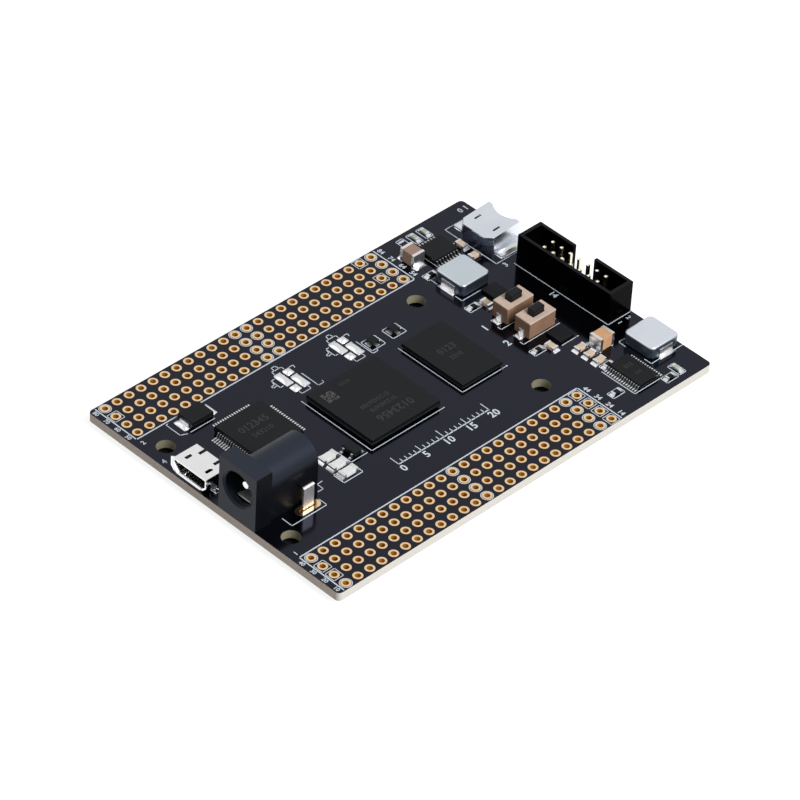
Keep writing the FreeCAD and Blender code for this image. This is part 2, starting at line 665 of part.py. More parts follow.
def power_jack():
    x, y, z = jack_edge, jack_line, top + s.foil
    axis = z + s.jack_axis
    wide = s.jack_radius * 2
    flange = box((x, y - s.jack_flange_width / 2, z), s.jack_flange, s.jack_flange_width,
                 s.jack_flange_height)
    block = box((x, y - s.jack_radius, z), s.jack_length, wide, s.jack_axis)
    barrel = rod(x, y, axis, s.jack_radius, s.jack_length, "x")
    bore = rod(x, y, axis, s.jack_bore, s.jack_bore_depth, "x")
    mouth = doc.addObject("Part::Cone", "Mouth")
    bind(mouth, "Radius1", s.jack_bore + s.jack_lead_in)
    bind(mouth, "Radius2", s.jack_bore)
    bind(mouth, "Height", s.jack_lead_in)
    put(turn(mouth, 90, (0, 1, 0)), x, y, axis)
    seat_length = s.jack_length - s.jack_bore_depth
    pin_seat = rod(x + s.jack_bore_depth, y, axis, s.jack_shank_radius, seat_length, "x")
    metal, room = s.jack_metal, s.jack_groove_room
    spring_wide = s.jack_spring_width
    groove = box((x + s.jack_spring_front - room * 2, y - spring_wide / 2 - room,
                  z + s.jack_spring_seat - room),
                 s.jack_spring_x + metal + room * 3 - s.jack_spring_front, spring_wide + room * 2,
                 s.jack_spring_rise + metal + room * 3)
    shaft = box((x + s.jack_spring_x, y - spring_wide / 2, z), metal, spring_wide, s.jack_spring_seat)
    piece("jack_housing", cut(fuse(flange, block, barrel), bore, mouth, pin_seat, groove, shaft))

    free = s.jack_bore_depth - s.jack_pin_setback - s.jack_pin_radius / 2
    start = x + s.jack_pin_setback + s.jack_pin_radius / 2
    shank = rod(x + s.jack_bore_depth, y, axis, s.jack_shank_radius, seat_length, "x")
    nose = doc.addObject("Part::Cone", "Nose")
    bind(nose, "Radius1", s.jack_pin_radius * 0.6)
    bind(nose, "Radius2", s.jack_pin_radius)
    bind(nose, "Height", s.jack_pin_radius / 2)
    put(turn(nose, 90, (0, 1, 0)), x + s.jack_pin_setback, y, axis)
    prong = rod(start, y, axis, s.jack_pin_radius, free, "x")
    piece("jack_centre_pin", fuse(prong, shank, nose))

    foot = top + tail
    piece("jack_rear_terminal", box((x + s.jack_length, y - s.jack_rear_width / 2, foot),
                                    metal, s.jack_rear_width, s.jack_rear_height - tail))
    side = y - s.jack_tab_y - metal / 2
    upright_tab = box((x + s.jack_tab_x - s.jack_tab_width / 2, side, foot), s.jack_tab_width, metal,
                      s.jack_tab_height - tail)
    return_tab = box((x + s.jack_tab_x - s.jack_tab_width / 2, side,
                      top + s.jack_tab_height - metal), s.jack_tab_width,
                     s.jack_tab_y + metal / 2 - s.jack_radius, metal)
    bent = fuse(upright_tab, return_tab)
    doc.recompute()
    rounded = doc.addObject("Part::Fillet", "Bend")
    rounded.Base = bent
    crown, outer = (top + s.jack_tab_height).value, side.value
    bend_edge = [n for n, edge in enumerate(bent.Shape.Edges, 1)
                 if all(abs(v.Z - crown) < 1e-4 and abs(v.Y - outer) < 1e-4 for v in edge.Vertexes)]
    rounded.Edges = [(n, metal.value * 0.95, metal.value * 0.95) for n in bend_edge]
    piece("jack_switch_terminal", rounded)

    body = new_body()
    back, front = s.jack_spring_x, s.jack_spring_front
    seat, tip = s.jack_spring_seat + s.foil, s.jack_spring_seat + s.jack_spring_rise
    flat = polygon(sketch(body, "XZ_Plane"), (
        (back, tail), (back + metal, tail), (back + metal, seat + metal), (front, tip + metal),
        (front, tip), (back, seat)))
    pad(body, flat, spring_wide, symmetric=True)
    piece("jack_spring", put(body, x, y, top))


def usb_section(grow, lift=0):
    """Six-sided section of the micro-USB shell; grow moves each side outwards."""
    half, high = s.usb_half + grow, s.usb_height + grow
    low = s.usb_lift - grow
    slant = s.usb_chamfer
    return ((-half, high), (-half, low + slant), (-half + slant, low),
            (half - slant, low), (half, low + slant), (half, high))


def usb_prism(grow, start, length):
    body = new_body()
    pad(body, polygon(sketch(body, "YZ_Plane", start), usb_section(grow)), length)
    return body


def usb_funnel(grow, start, flare, length):
    """The flared mouth: from the wide section at the front to the plain one."""
    body = new_body()
    wide = polygon(sketch(body, "YZ_Plane", start), usb_section(grow + flare))
    plain = polygon(sketch(body, "YZ_Plane", start + length), usb_section(grow))
    doc.recompute()
    loft = body.newObject("PartDesign::AdditiveLoft", "Mouth")
    loft.Profile = wide
    loft.Sections = [plain]
    loft.Ruled = True
    doc.recompute()
    return body


def usb_socket():
    x, y = jack_edge + s.usb_x, across(s.usb_across)
    wall, flare, mouth = s.usb_wall, s.usb_flare, s.usb_flare_length
    outside = [usb_prism(0, mouth, s.usb_length - mouth), usb_funnel(0, 0, flare, mouth)]
    inside = [usb_prism(-wall, mouth, s.usb_length - mouth), usb_funnel(-wall, 0, flare, mouth)]
    tools = [fuse(*inside)]
    for place, apart in ((s.usb_window_x, s.usb_window_y),
                         (s.usb_length - s.usb_window_length / 2, s.usb_notch_y)):
        for side in (-1, 1):
            tools.append(centred(place, side * apart, s.usb_height - wall * 2,
                                 s.usb_window_length, s.usb_window_width, wall * 3))
    ears, holes = [], []
    for side in (-1, 1):
        ears.append(centred(s.usb_ear_x, side * (s.usb_half + s.usb_ear_width / 2 - wall), 0,
                            s.usb_ear_length, s.usb_ear_width, wall))
        ears.append(centred(s.usb_ear_x, side * (s.usb_half - wall / 2), 0, s.usb_ear_length, wall,
                            s.usb_height - s.usb_chamfer / 2))
        tools.append(rod(s.usb_ear_x, side * (s.usb_half + s.usb_ear_width / 2), 0, wall * 1.2, wall))
    piece("usb_shell", put(cut(fuse(*outside, *ears), *tools), x, y, top))

    back = s.usb_length - s.usb_block
    block = usb_prism(-wall, back, s.usb_block)
    ledge = s.usb_height / 2 + s.usb_lift / 2
    tongue = box((s.usb_tongue_setback, -(s.usb_tongue_width / 2), ledge), back - s.usb_tongue_setback,
                 s.usb_tongue_width, s.usb_tongue_height)
    strips, slots = [], []
    thick, wide = s.usb_contact_thickness, s.usb_contact_width
    for step in (-2, -1, 0, 1, 2):
        line = step * s.usb_contact_pitch - wide / 2
        start = s.usb_tongue_setback + wall
        run = s.usb_length - start + thick
        for kind in (strips, slots):
            strip = box((start, line, ledge - thick), run, wide, thick)
            if kind is slots:
                slots.append(strip)
            else:
                drop = box((s.usb_length, line, 0), thick, wide, ledge)
                foot = box((s.usb_length, line, 0), s.lead_foot, wide, thick)
                strips.append(fuse(strip, drop, foot))
    piece("usb_insulator", put(cut(fuse(block, tongue), *slots), x, y, top))
    piece("usb_contacts", put(group(*strips), x, y, top))


def debug_header():
    inner_width = s.shroud_width - s.shroud_wall * 2
    depth = s.shroud_height - s.shroud_floor
    body = new_body()
    pad(body, rectangle(sketch(body), 0, 0, s.shroud_width, s.shroud_length), s.shroud_height)
    lid = s.shroud_height
    flat = rectangle(sketch(body, offset=lid), 0, 0, inner_width, s.shroud_length - s.shroud_end_wall * 2)
    pocket(body, flat, depth)
    flat = rectangle(sketch(body, offset=lid), (s.shroud_width - s.shroud_wall) / 2, 0,
                     s.shroud_wall * 1.2, s.shroud_key)
    pocket(body, flat, depth)
    flat = rectangle(sketch(body, offset=s.shroud_floor), -(s.pin_pitch / 2), -first_pin,
                     s.pin_side, s.pin_side)
    grid(body, pocket(body, flat, s.shroud_floor), s.pin_pitch, as_size(2), s.pin_columns)
    piece("debug_housing", put(body, shroud_x, 0, top + s.foil))

    body = new_body()
    post = rectangle(sketch(body, offset=tail), 0, 0, s.pin_side, s.pin_side)
    pad(body, post, s.pin_height - tail)
    ends = (tail.value, s.pin_height.value)
    point = round_edges(body, lambda edge: any(at_height(level)(edge) for level in ends),
                        s.pin_tip, "Chamfer")
    pins = body.newObject("PartDesign::MultiTransform", "Pins")
    pins.Originals = [item for item in body.Group if item.TypeId == "PartDesign::Pad"] + [point]
    lines = [row(body, "X_Axis", s.pin_pitch, as_size(2), pins),
             row(body, "Y_Axis", s.pin_pitch, s.pin_columns, pins)]
    pins.Transformations = lines
    body.Tip = pins
    piece("debug_pins", put(body, shroud_x - s.pin_pitch / 2, -first_pin, top))


def tail_solder():
    """Solder cones round the debug pins, under the board."""
    body = new_body()
    inner = s.pin_side * 0.72
    grid(body, revolve(body, ((inner, 0), (s.solder_foot, 0), (s.solder_top, -s.solder_height),
                              (inner, -s.solder_height))), s.pin_pitch, as_size(2), s.pin_columns)
    piece("tail_solder", put(body, shroud_x - s.pin_pitch / 2, -first_pin, underside - s.foil))


# ---------------------------------------------------------------------------
# coin-cell retainer and tinned pads
# ---------------------------------------------------------------------------

def retainer_section(body, place, high):
    """Section of the bent strap across the cell: feet, walls and the bridge over them."""
    foot, wall, crown, sheet = s.clip_half_foot, s.clip_half_wall, s.clip_half_top, s.clip_sheet
    return polygon(sketch(body, "YZ_Plane", place), (
        (-foot, 0), (-foot, sheet), (-wall, sheet), (-crown, high), (crown, high), (wall, sheet),
        (foot, sheet), (foot, 0), (wall - sheet, 0), (crown - sheet, high - sheet),
        (sheet - crown, high - sheet), (sheet - wall, 0)))


def cell_retainer():
    x, y = far_end - s.clip_inset, across(s.clip_across)
    crown, high, sheet = s.clip_half_top, s.clip_height, s.clip_sheet
    half, lip = s.clip_width / 2, s.clip_lip
    strap = new_body()
    front = retainer_section(strap, -half, high)
    back = retainer_section(strap, half, high + s.clip_rise)
    doc.recompute()
    loft = strap.newObject("PartDesign::AdditiveLoft", "Strap")
    loft.Profile = front
    loft.Sections = [back]
    loft.Ruled = True
    doc.recompute()
    reach = half + s.clip_bite_radius - s.clip_bite
    tools = [rod(reach, 0, high / 2, s.clip_bite_radius, high)]
    for side in (-1, 1):
        tools.append(centred(-s.clip_slot_x, side * s.clip_slot_y, high - sheet * 2,
                             s.clip_slot_length, s.clip_slot_width, sheet * 4))
    brim = new_body()
    flat = polygon(sketch(brim, offset=high - sheet), (
        (-half - lip, lip - crown), (-half, -crown), (-half, crown), (-half - lip, crown - lip)))
    pad(brim, flat, sheet)
    stops = []
    radius = s.clip_tab_radius
    for side in (-1, 1):
        disc = rod(0, 0, 0, radius, sheet, "x")
        lower = box((0, -radius, -radius), sheet, radius * 2, radius + sheet / 2)
        stop = turn(common(disc, lower), -45 * side)
        stops.append(put(stop, -half - lip / 2, side * (crown - lip / 2), high - sheet))
    piece("cell_retainer", put(fuse(cut(strap, *tools), brim, *stops), x, y, top + s.tin))
    piece("cell_contact", rod(x - lip / 4, y, top, s.cell_contact_radius, s.tin))


def tinned_pads():
    """Foot pads of the retainer and the pads of two four-pad footprints."""
    x, y = far_end - s.clip_inset, across(s.clip_across)
    pads = [centred(x, y + side * (s.clip_half_foot - s.clip_pad_length / 3), top,
                    s.clip_pad_width, s.clip_pad_length, s.tin) for side in (-1, 1)]
    pitch_x = s.footprint_pad + s.footprint_gap
    tall = s.footprint_long + s.footprint_short + s.footprint_gap
    for place in (s.footprint_one_along, s.footprint_two_along):
        x, y = along(place), across(s.footprint_across)
        for side in (-1, 1):
            column = x + side * pitch_x / 2
            pads.append(centred(column, y - side * (tall - s.footprint_long) / 2, top,
                                s.footprint_pad, s.footprint_long, s.tin))
            pads.append(centred(column, y + side * (tall - s.footprint_short) / 2, top,
                                s.footprint_pad, s.footprint_short, s.tin))
    piece("tinned_pads", group(*pads))


# ---------------------------------------------------------------------------
# inductors, buttons and chip components
# ---------------------------------------------------------------------------

def inductor(name, from_far_end, place, angle):
    x, y = far_end - from_far_end, across(place)
    body = new_body()
    flat = rectangle(sketch(body, offset=s.coil_lift), 0, 0, s.coil_side, s.coil_side)
    pad(body, flat, s.coil_height - s.coil_lift)
    round_edges(body, upright, s.coil_corner)
    round_edges(body, at_height(s.coil_height.value), s.coil_round)
    turn(body, angle)
    piece(name + "_body", put(body, x, y, top))
    straps = []
    strap, wide = s.coil_strap, s.coil_strap_width
    for side in (-1, 1):
        face = side * (s.coil_side + strap) / 2
        riser = centred(face, 0, 0, strap, wide, s.coil_strap_height)
        length = s.coil_foot + s.coil_under
        foot = centred(side * (s.coil_side / 2 + (s.coil_foot - s.coil_under) / 2), 0, 0,
                       length, wide, strap)
        straps.append(fuse(riser, foot))
    both = turn(group(*straps), angle)
    piece(name + "_terminals", put(both, x, y, top))


def push_button(name, place):
    x, y = far_end - s.button_x, across(place)
    long, wide, high = s.button_length, s.button_width, s.button_base
    gap = s.plunger_gap
    heel = high - s.plunger_flange - gap
    rise, radius = s.dome_height, s.dome_radius
    floor = heel - s.plunger_travel - gap - rise
    room = centred(0, 0, floor, s.button_room_length, s.button_room_width, high - floor)
    base = cut(centred(0, 0, 0, long, wide, high), room)
    piece(name + "_base", put(base, x, y, top))

    opening = centred(0, 0, high, s.plunger_length + gap * 2, s.plunger_width + gap * 2, s.button_cover)
    cover = cut(centred(0, 0, high, long, wide, s.button_cover), opening)
    piece(name + "_cover", put(cover, x, y, top))

    stem = centred(0, 0, heel, s.plunger_length, s.plunger_width, s.plunger_top - heel)
    flange = centred(0, 0, heel, s.plunger_length + s.plunger_lip * 2,
                     s.plunger_width + s.plunger_lip * 2, s.plunger_flange)
    piece(name + "_plunger", put(fuse(stem, flange), x, y, top))

    ball = (radius * radius + rise * rise) / (rise * 2)
    outer, inner = [doc.addObject("Part::Sphere", "Dome") for _ in range(2)]
    for sphere, size in ((outer, ball), (inner, ball - s.dome_sheet)):
        bind(sphere, "Radius", size)
        put(sphere, 0, 0, floor + rise - ball)
    dome = common(cut(outer, inner), rod(0, 0, floor, radius, rise))
    piece(name + "_dome", put(dome, x, y, top))

    straps = []
    for side in (-1, 1):
        riser = centred(side * (long + s.button_strap) / 2, 0, 0, s.button_strap,
                        s.button_strap_width, s.button_strap_height)
        foot = centred(side * (long + s.button_foot) / 2, 0, 0, s.button_foot,
                       s.button_strap_width, s.button_strap)
        straps.append(fuse(riser, foot))
    piece(name + "_terminals", put(group(*straps), x, y, top))


def chip_component(kind, x, y, turned):
    """The body and the two end caps of one chip component; turned ones lie across the board."""
    long, wide, high, end = [getattr(s, f"{kind}_{side}") for side in ("length", "width", "height", "end")]
    proud = s.end_proud
    core, shift = long - end * 2, (long - end) / 2
    if turned:
        block = centred(x, y, top + proud, wide - proud * 2, core, high - proud * 2)
        caps = [centred(x, y + side * shift, top, wide, end, high) for side in (-1, 1)]
    else:
        block = centred(x, y, top + proud, core, wide - proud * 2, high - proud * 2)
        caps = [centred(x + side * shift, y, top, end, wide, high) for side in (-1, 1)]
    return block, caps


def chip_components():
    """Chip capacitors, resistors, indicators and fuses, grouped by kind."""
    bodies = {kind: [] for kind in ("bulk", "capacitor", "resistor", "led", "fuse")}
    ends = {kind: [] for kind in bodies}
    places = []
    for number, (kind, _, _, turned) in enumerate(PLACES, 1):
        x = far_end - getattr(s, f"{kind}_{number}_x")
        y = across(getattr(s, f"{kind}_{number}_across"))
        places.append((kind, x, y, turned))
    converter_side = across(s.side_converter_across) + s.side_converter_length / 2
    beside = converter_side + s.resistor_width / 2 + s.component_gap
    places.append(("resistor", far_end - s.gate_resistor_x, beside, False))
    for step in (-1, 0, 1):
        y = across(s.fuse_across) + step * s.fuse_pitch
        places.append(("fuse", along(s.fuse_along), y, False))
    for kind, x, y, turned in places:
        block, caps = chip_component(kind, x, y, turned)
        bodies[kind].append(block)
        ends[kind] += caps
    piece("bulk_capacitor_bodies", group(*bodies["bulk"]))
    piece("bulk_capacitor_ends", group(*ends["bulk"]))
    piece("capacitor_bodies", group(*bodies["capacitor"]))
    piece("resistor_bodies", group(*bodies["resistor"]))
    piece("led_bodies", group(*bodies["led"]))
    piece("small_end_caps", group(*ends["capacitor"], *ends["resistor"], *ends["led"]))
    piece("fuse_bodies", group(*bodies["fuse"]))
    piece("fuse_ends", group(*ends["fuse"]))


# ---------------------------------------------------------------------------
# assembly
# ---------------------------------------------------------------------------

jack_line = across(s.jack_across)
shroud_x = far_end - s.shroud_inset
first_pin = s.pin_pitch * (s.pin_columns - 1) / 2
far_strip = far_edge - s.strip_edge - s.hole_pitch * (s.hole_rows - 1)

circuit_board()
header_strip("near_header_barrels", near_edge + s.strip_edge)
header_strip("far_header_barrels", far_strip)
connector_barrels()
logic_chip()
memory_chip()
leaded_chips()
regulator()
thin_chips()
power_diode()
power_jack()
usb_socket()
debug_header()
tail_solder()
cell_retainer()
tinned_pads()
inductor("main_inductor", s.main_coil_x, s.main_coil_across, 0)
inductor("side_inductor", s.side_coil_x, s.side_coil_across, 90)
push_button("reset_button", s.reset_across)
push_button("program_button", s.program_across)
chip_components()

doc.recompute()
for thing in doc.Objects:
    if "Invalid" in thing.State or "Error" in thing.State:
        raise ValueError(f"{thing.Name} ({thing.Label}) did not compute: {thing.State}")
for thing in pieces:
    if thing.Shape.isNull() or not thing.Shape.isValid() or not thing.Shape.Solids:
        raise ValueError(f"{thing.Label} has no valid solid")

os.makedirs("parts", exist_ok=True)
for thing in pieces:
    thing.Shape.exportStep(os.path.join("parts", thing.Label + ".step"))
print(len(pieces), "sub-parts")
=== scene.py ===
import random
from math import atan2, cos, degrees, radians, sin

import bpy
from mathutils import Matrix, Quaternion, Vector


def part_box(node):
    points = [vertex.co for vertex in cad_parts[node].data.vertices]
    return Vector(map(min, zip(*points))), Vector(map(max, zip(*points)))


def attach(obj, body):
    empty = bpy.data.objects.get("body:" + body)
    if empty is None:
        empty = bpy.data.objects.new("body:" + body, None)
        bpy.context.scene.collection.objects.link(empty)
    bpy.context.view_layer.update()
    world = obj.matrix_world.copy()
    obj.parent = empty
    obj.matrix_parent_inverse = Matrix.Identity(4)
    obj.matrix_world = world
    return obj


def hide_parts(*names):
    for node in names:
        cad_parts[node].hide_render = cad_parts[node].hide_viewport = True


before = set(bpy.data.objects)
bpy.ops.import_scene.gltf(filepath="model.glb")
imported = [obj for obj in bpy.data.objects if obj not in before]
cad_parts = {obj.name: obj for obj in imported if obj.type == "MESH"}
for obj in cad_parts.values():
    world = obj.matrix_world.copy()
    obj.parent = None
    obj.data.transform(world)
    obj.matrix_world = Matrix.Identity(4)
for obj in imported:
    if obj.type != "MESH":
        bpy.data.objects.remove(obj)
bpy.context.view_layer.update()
MM = 0.001
board_low, board_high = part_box("circuit_board")
top = board_high.z

# ---------------------------------------------------------------------------
# Camera, lamps and floor
# The board stands on a plain white sweep with a painted shadow under it, seen from above its power
# jack corner through a long lens. One broad lamp on the right and a weaker one on the far left give long
# soft highlights.
# ---------------------------------------------------------------------------


def aim(place, target, roll=0.0):
    """Location and rotation of a camera or lamp that looks from place to target."""
    facing = (place - target).to_track_quat("Z", "Y")
    return place, (facing @ Quaternion((0, 0, 1), roll)).to_euler()


def around(target, azimuth, elevation, distance):
    """A point seen from the target at that compass angle from +X and that height angle."""
    flat = cos(elevation) * distance
    return target + Vector((cos(azimuth) * flat, sin(azimuth) * flat, sin(elevation) * distance))


looked_at = Vector((-2.55 * MM, -1.88 * MM, top))
camera_place = around(looked_at, radians(-136.68), radians(39.86), 775.8 * MM)
place, rotation = aim(camera_place, looked_at, roll=radians(3.46))
bpy.ops.object.select_all(action="DESELECT")
bpy.ops.object.camera_add(location=place, rotation=rotation)
camera = bpy.context.object
camera.data.lens = 220.35
camera.data.sensor_width = 36.0
camera.data.clip_end = 20.0
bpy.context.scene.camera = camera
bpy.context.scene.view_settings.view_transform = "Standard"

# Each lamp has its azimuth and elevation in degrees, its distance and size in metres, and its watts.
centre = Vector((0.0, 0.0, top))
for name, azimuth, elevation, distance, size, watts in (
        ("key", -86, 42, 0.6, 0.4, 3.8), ("back", 125, 40, 0.7, 0.4, 0.4)):
    place, rotation = aim(around(centre, radians(azimuth), radians(elevation), distance), centre)
    bpy.ops.object.light_add(type="AREA", location=place, rotation=rotation)
    lamp = bpy.context.object
    lamp.name = name
    lamp.data.size = size
    lamp.data.energy = watts


class Value:
    """The output of a shader node. Sums, products and comparisons add Math nodes, and | joins masks."""

    def __init__(self, nodes, socket):
        self.nodes = nodes
        self.socket = socket

    def math(self, operation, one, other=0.0):
        return self.nodes.node("ShaderNodeMath", {"operation": operation}, {0: one, 1: other})

    def __add__(self, other):
        return self.math("ADD", self, other)

    def __sub__(self, other):
        return self.math("SUBTRACT", self, other)

    def __rsub__(self, other):
        return self.math("SUBTRACT", other, self)

    def __mul__(self, other):
        return self.math("MULTIPLY", self, other)

    def __gt__(self, other):
        return self.math("GREATER_THAN", self, other)

    def __lt__(self, other):
        return self.math("LESS_THAN", self, other)

    def __abs__(self):
        return self.math("ABSOLUTE", self)

    def at_least(self, other):
        """The larger of the two, or where one mask or the other is on."""
        return self.math("MAXIMUM", self, other)

    __radd__, __rmul__ = __add__, __mul__
    __or__ = __ror__ = at_least


class Nodes:
    """The node tree of the world or of a material."""

    def __init__(self, tree):
        self.tree = tree

    def node(self, kind, settings=None, sockets=None, out=0):
        """Any node: its settings first, then the values or links of its sockets."""
        made = self.tree.nodes.new(kind)
        for word, setting in (settings or {}).items():
            setattr(made, word, setting)
        for key, given in (sockets or {}).items():
            if isinstance(given, Value):
                self.tree.links.new(given.socket, made.inputs[key])
            else:
                made.inputs[key].default_value = given
        return Value(self, made.outputs[out])

    def seen_directly(self):
        """1 for a ray from the camera, from a mirror or through glass, and 0 for scattered light."""
        rays = [self.node("ShaderNodeLightPath", out=kind)
                for kind in ("Is Camera Ray", "Is Glossy Ray", "Is Transmission Ray")]
        return rays[0] | rays[1] | rays[2]


class Finish(Nodes):
    """One material: a Principled shader whose sockets are set plainly or driven by nodes."""

    def __init__(self, name, **settings):
        self.material = bpy.data.materials.new(name)
        self.material.use_nodes = True
        super().__init__(self.material.node_tree)
        self.shader = self.tree.nodes["Principled BSDF"]
        for word, number in settings.items():
            self.set(word.replace("_", " ").title().replace("Ior", "IOR"), number)

    def set(self, socket, number):
        """A constant, a colour or a Value for one socket of the shader."""
        if isinstance(number, Value):
            self.tree.links.new(number.socket, self.shader.inputs[socket])
        elif isinstance(number, tuple):
            self.shader.inputs[socket].default_value = (*number, 1.0)
        else:
            self.shader.inputs[socket].default_value = number

    def place(self):
        """Object coordinates in metres, which are the board's own."""
        return self.node("ShaderNodeTexCoord", out="Object")

    def axes(self, vector):
        """The X, Y and Z parts of a vector."""
        split = self.node("ShaderNodeSeparateXYZ", sockets={0: vector}).socket.node
        return [Value(self, part) for part in split.outputs]

    def facing_up(self):
        """1 on a face that looks up, 0 on an upright one and -1 on one that looks down."""
        return self.axes(self.node("ShaderNodeNewGeometry", out="Normal"))[2]

    def noise(self, scale, detail=3.0):
        """Cloudy noise from 0 to 1 with that many clouds to the metre."""
        return self.node("ShaderNodeTexNoise", sockets={
            "Vector": self.place(), "Scale": scale, "Detail": detail})

    def blend(self, one, other, factor):
        """A colour between two colours or colour Values."""
        def full(colour):
            return colour if isinstance(colour, Value) else (*colour, 1.0)
        return self.node("ShaderNodeMix", {"data_type": "RGBA"},
                         {0: factor, 6: full(one), 7: full(other)}, out=2)

    def bump(self, height, strength, distance):
        """Fine relief that follows a height Value."""
        self.set("Normal", self.node("ShaderNodeBump", sockets={
            "Height": height, "Strength": strength, "Distance": distance}))


# Scattered light comes from a dim, faintly blue sky, and reflections see a bright grey backdrop.
world = bpy.data.worlds.new("studio")
bpy.context.scene.world = world
world.use_nodes = True
sky = Nodes(world.node_tree)
ambient = sky.tree.nodes["Background"]
ambient.inputs["Color"].default_value = (0.93, 0.96, 1.0, 1.0)
ambient.inputs["Strength"].default_value = 0.22
shown = sky.node("ShaderNodeMixShader", sockets={
    0: sky.seen_directly(), 1: Value(sky, ambient.outputs[0]), 2: sky.node("ShaderNodeBackground")})
sky.tree.links.new(shown.socket, sky.tree.nodes["World Output"].inputs["Surface"])

# The floor is plain white to the eye, with a painted shadow where the board covers it: its colour is
# dark there and it does not glow, so that the board's holes look dark.
bpy.ops.mesh.primitive_plane_add(size=6.0)
floor = bpy.context.object
floor.name = "floor"
painted_shadow_x, painted_shadow_y = board_high.x - 2.0 * MM, board_high.y - 2.0 * MM
paper = Finish("white_paper", roughness=0.9, specular_ior_level=0.0)
along, across = paper.axes(paper.place())[:2]
outside_painted_shadow = (abs(along) > painted_shadow_x) | (abs(across) > painted_shadow_y)
# Painted shadow: the floor's colour is dark under the board, and only the floor outside it glows.
paper.set("Base Color", paper.blend((0.05, 0.05, 0.05), (0.42, 0.42, 0.42), outside_painted_shadow))
glow = paper.seen_directly() * outside_painted_shadow
paper.set("Emission Color", paper.blend((0.0, 0.0, 0.0), (1.0, 1.0, 1.0), glow))
paper.set("Emission Strength", 0.85)
floor.data.materials.append(paper.material)

# ---------------------------------------------------------------------------
# Circuit board
# Glass-fibre laminate, pressed and routed to size, with a glossy black solder mask on both faces.
# The cut edges and the drilled holes show the bare tan laminate.
# ---------------------------------------------------------------------------


def dress(node, finish):
    """Give a CAD node its finish."""
    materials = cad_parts[node].data.materials
    materials.clear()
    materials.append(finish.material)


# Ink covers the level faces. The two ends and the two long sides show the fine layers of the
# laminate; the ends are painted darker than the sides, as lit and shaded tones of one laminate, and
# the drilled holes are painted darker and more olive, as shade in the bores.
edge_band = 0.6 * MM
mask = Finish("black_solder_mask", specular_ior_level=0.36, specular_tint=(0.56, 0.60, 1.0))
lookup = mask.place()
along, across = mask.axes(lookup)[:2]
past_end = abs(along) > board_high.x - edge_band
past_side = abs(across) > board_high.y - edge_band
inked = abs(mask.facing_up()) > 0.5
ink = mask.blend((0.0006, 0.0007, 0.0012), (0.0011, 0.0012, 0.0021), mask.noise(90.0, 4.0))
glass = mask.noise(2600.0, 2.0)
layers = mask.node("ShaderNodeTexWave", {"bands_direction": "Z"}, {
    "Vector": lookup, "Scale": 900.0, "Distortion": 2.5, "Detail": 1.0})
# Painted shade: the drilled bores are darker than the cut edges.
drilled_with_painted_shade = mask.blend((0.24, 0.22, 0.14), (0.34, 0.315, 0.21), glass)
# Painted light and shade: the ends get a darker tone than the long sides.
shaded_sawn_end = mask.blend((0.74, 0.63, 0.53), (0.88, 0.77, 0.66), glass)
lit_sawn_side = mask.blend((0.80, 0.77, 0.70), (0.94, 0.92, 0.86), glass)
sawn = mask.blend(mask.blend(shaded_sawn_end, lit_sawn_side, past_side), (0.44, 0.38, 0.30), layers * 0.42)
bare = mask.blend(drilled_with_painted_shade, sawn, past_end | past_side)
mask.set("Base Color", mask.blend(bare, ink, inked))
mask.set("Roughness", 0.75 - inked * (0.65 - 0.05 * mask.noise(1400.0, 2.0)))
copper = mask.node("ShaderNodeTexBrick", sockets={
    "Vector": lookup, "Scale": 210.0, "Mortar Size": 0.04, "Brick Width": 0.9, "Row Height": 0.35}, out=1)
mask.bump(mask.noise(300.0, 2.0) + copper * 0.1, 0.05, 0.00004)
dress("circuit_board", mask)

# ---------------------------------------------------------------------------
# Plated holes
# Copper barrels plated with nickel and a thin flash of gold, with a flat ring on each face. The
# bores are painted a darker, deeper gold than the rings, as the shade of bores that only see each other.
# ---------------------------------------------------------------------------

gold = Finish("gold_plate")
wear = gold.noise(1500.0, 3.0)
face = abs(gold.facing_up()) > 0.5
ring_gold = gold.blend((0.97, 0.66, 0.36), (1.0, 0.78, 0.50), wear)
# Painted shade: the bores get a dark gold, and less metal, than the rings.
gold.set("Base Color", gold.blend((0.56, 0.25, 0.02), ring_gold, face))
gold.set("Metallic", 0.4 + 0.6 * face)
gold.set("Roughness", 0.34 - 0.2 * face + 0.12 * wear)
gold.bump(gold.noise(5200.0, 2.0), 0.1, 0.00001)
for node in ("near_header_barrels", "far_header_barrels", "connector_barrels"):
    dress(node, gold)

# ---------------------------------------------------------------------------
# Silkscreen
# White ink printed on the mask: frames round the header strips, rings and squares round the power
# and ground holes, part outlines, and plain numbers.
# ---------------------------------------------------------------------------

ink_thick = 0.015 * MM
ink_width = 0.16 * MM
fine_width, small_width = 0.14 * MM, 0.15 * MM
ruler_width, frame_width, bold_width = 0.22 * MM, 0.24 * MM, 0.28 * MM
white_ink = Finish("white_ink", roughness=0.55)
speck = white_ink.noise(3400.0, 3.0)
white_ink.set("Base Color", white_ink.blend((0.58, 0.66, 0.74), (0.74, 0.80, 0.86), speck))
white_ink.bump(speck, 0.2, 0.00001)
printed = []


def only(thing):
    """Make one object the only one selected, and the active one."""
    bpy.ops.object.select_all(action="DESELECT")
    thing.select_set(True)
    bpy.context.view_layer.objects.active = thing


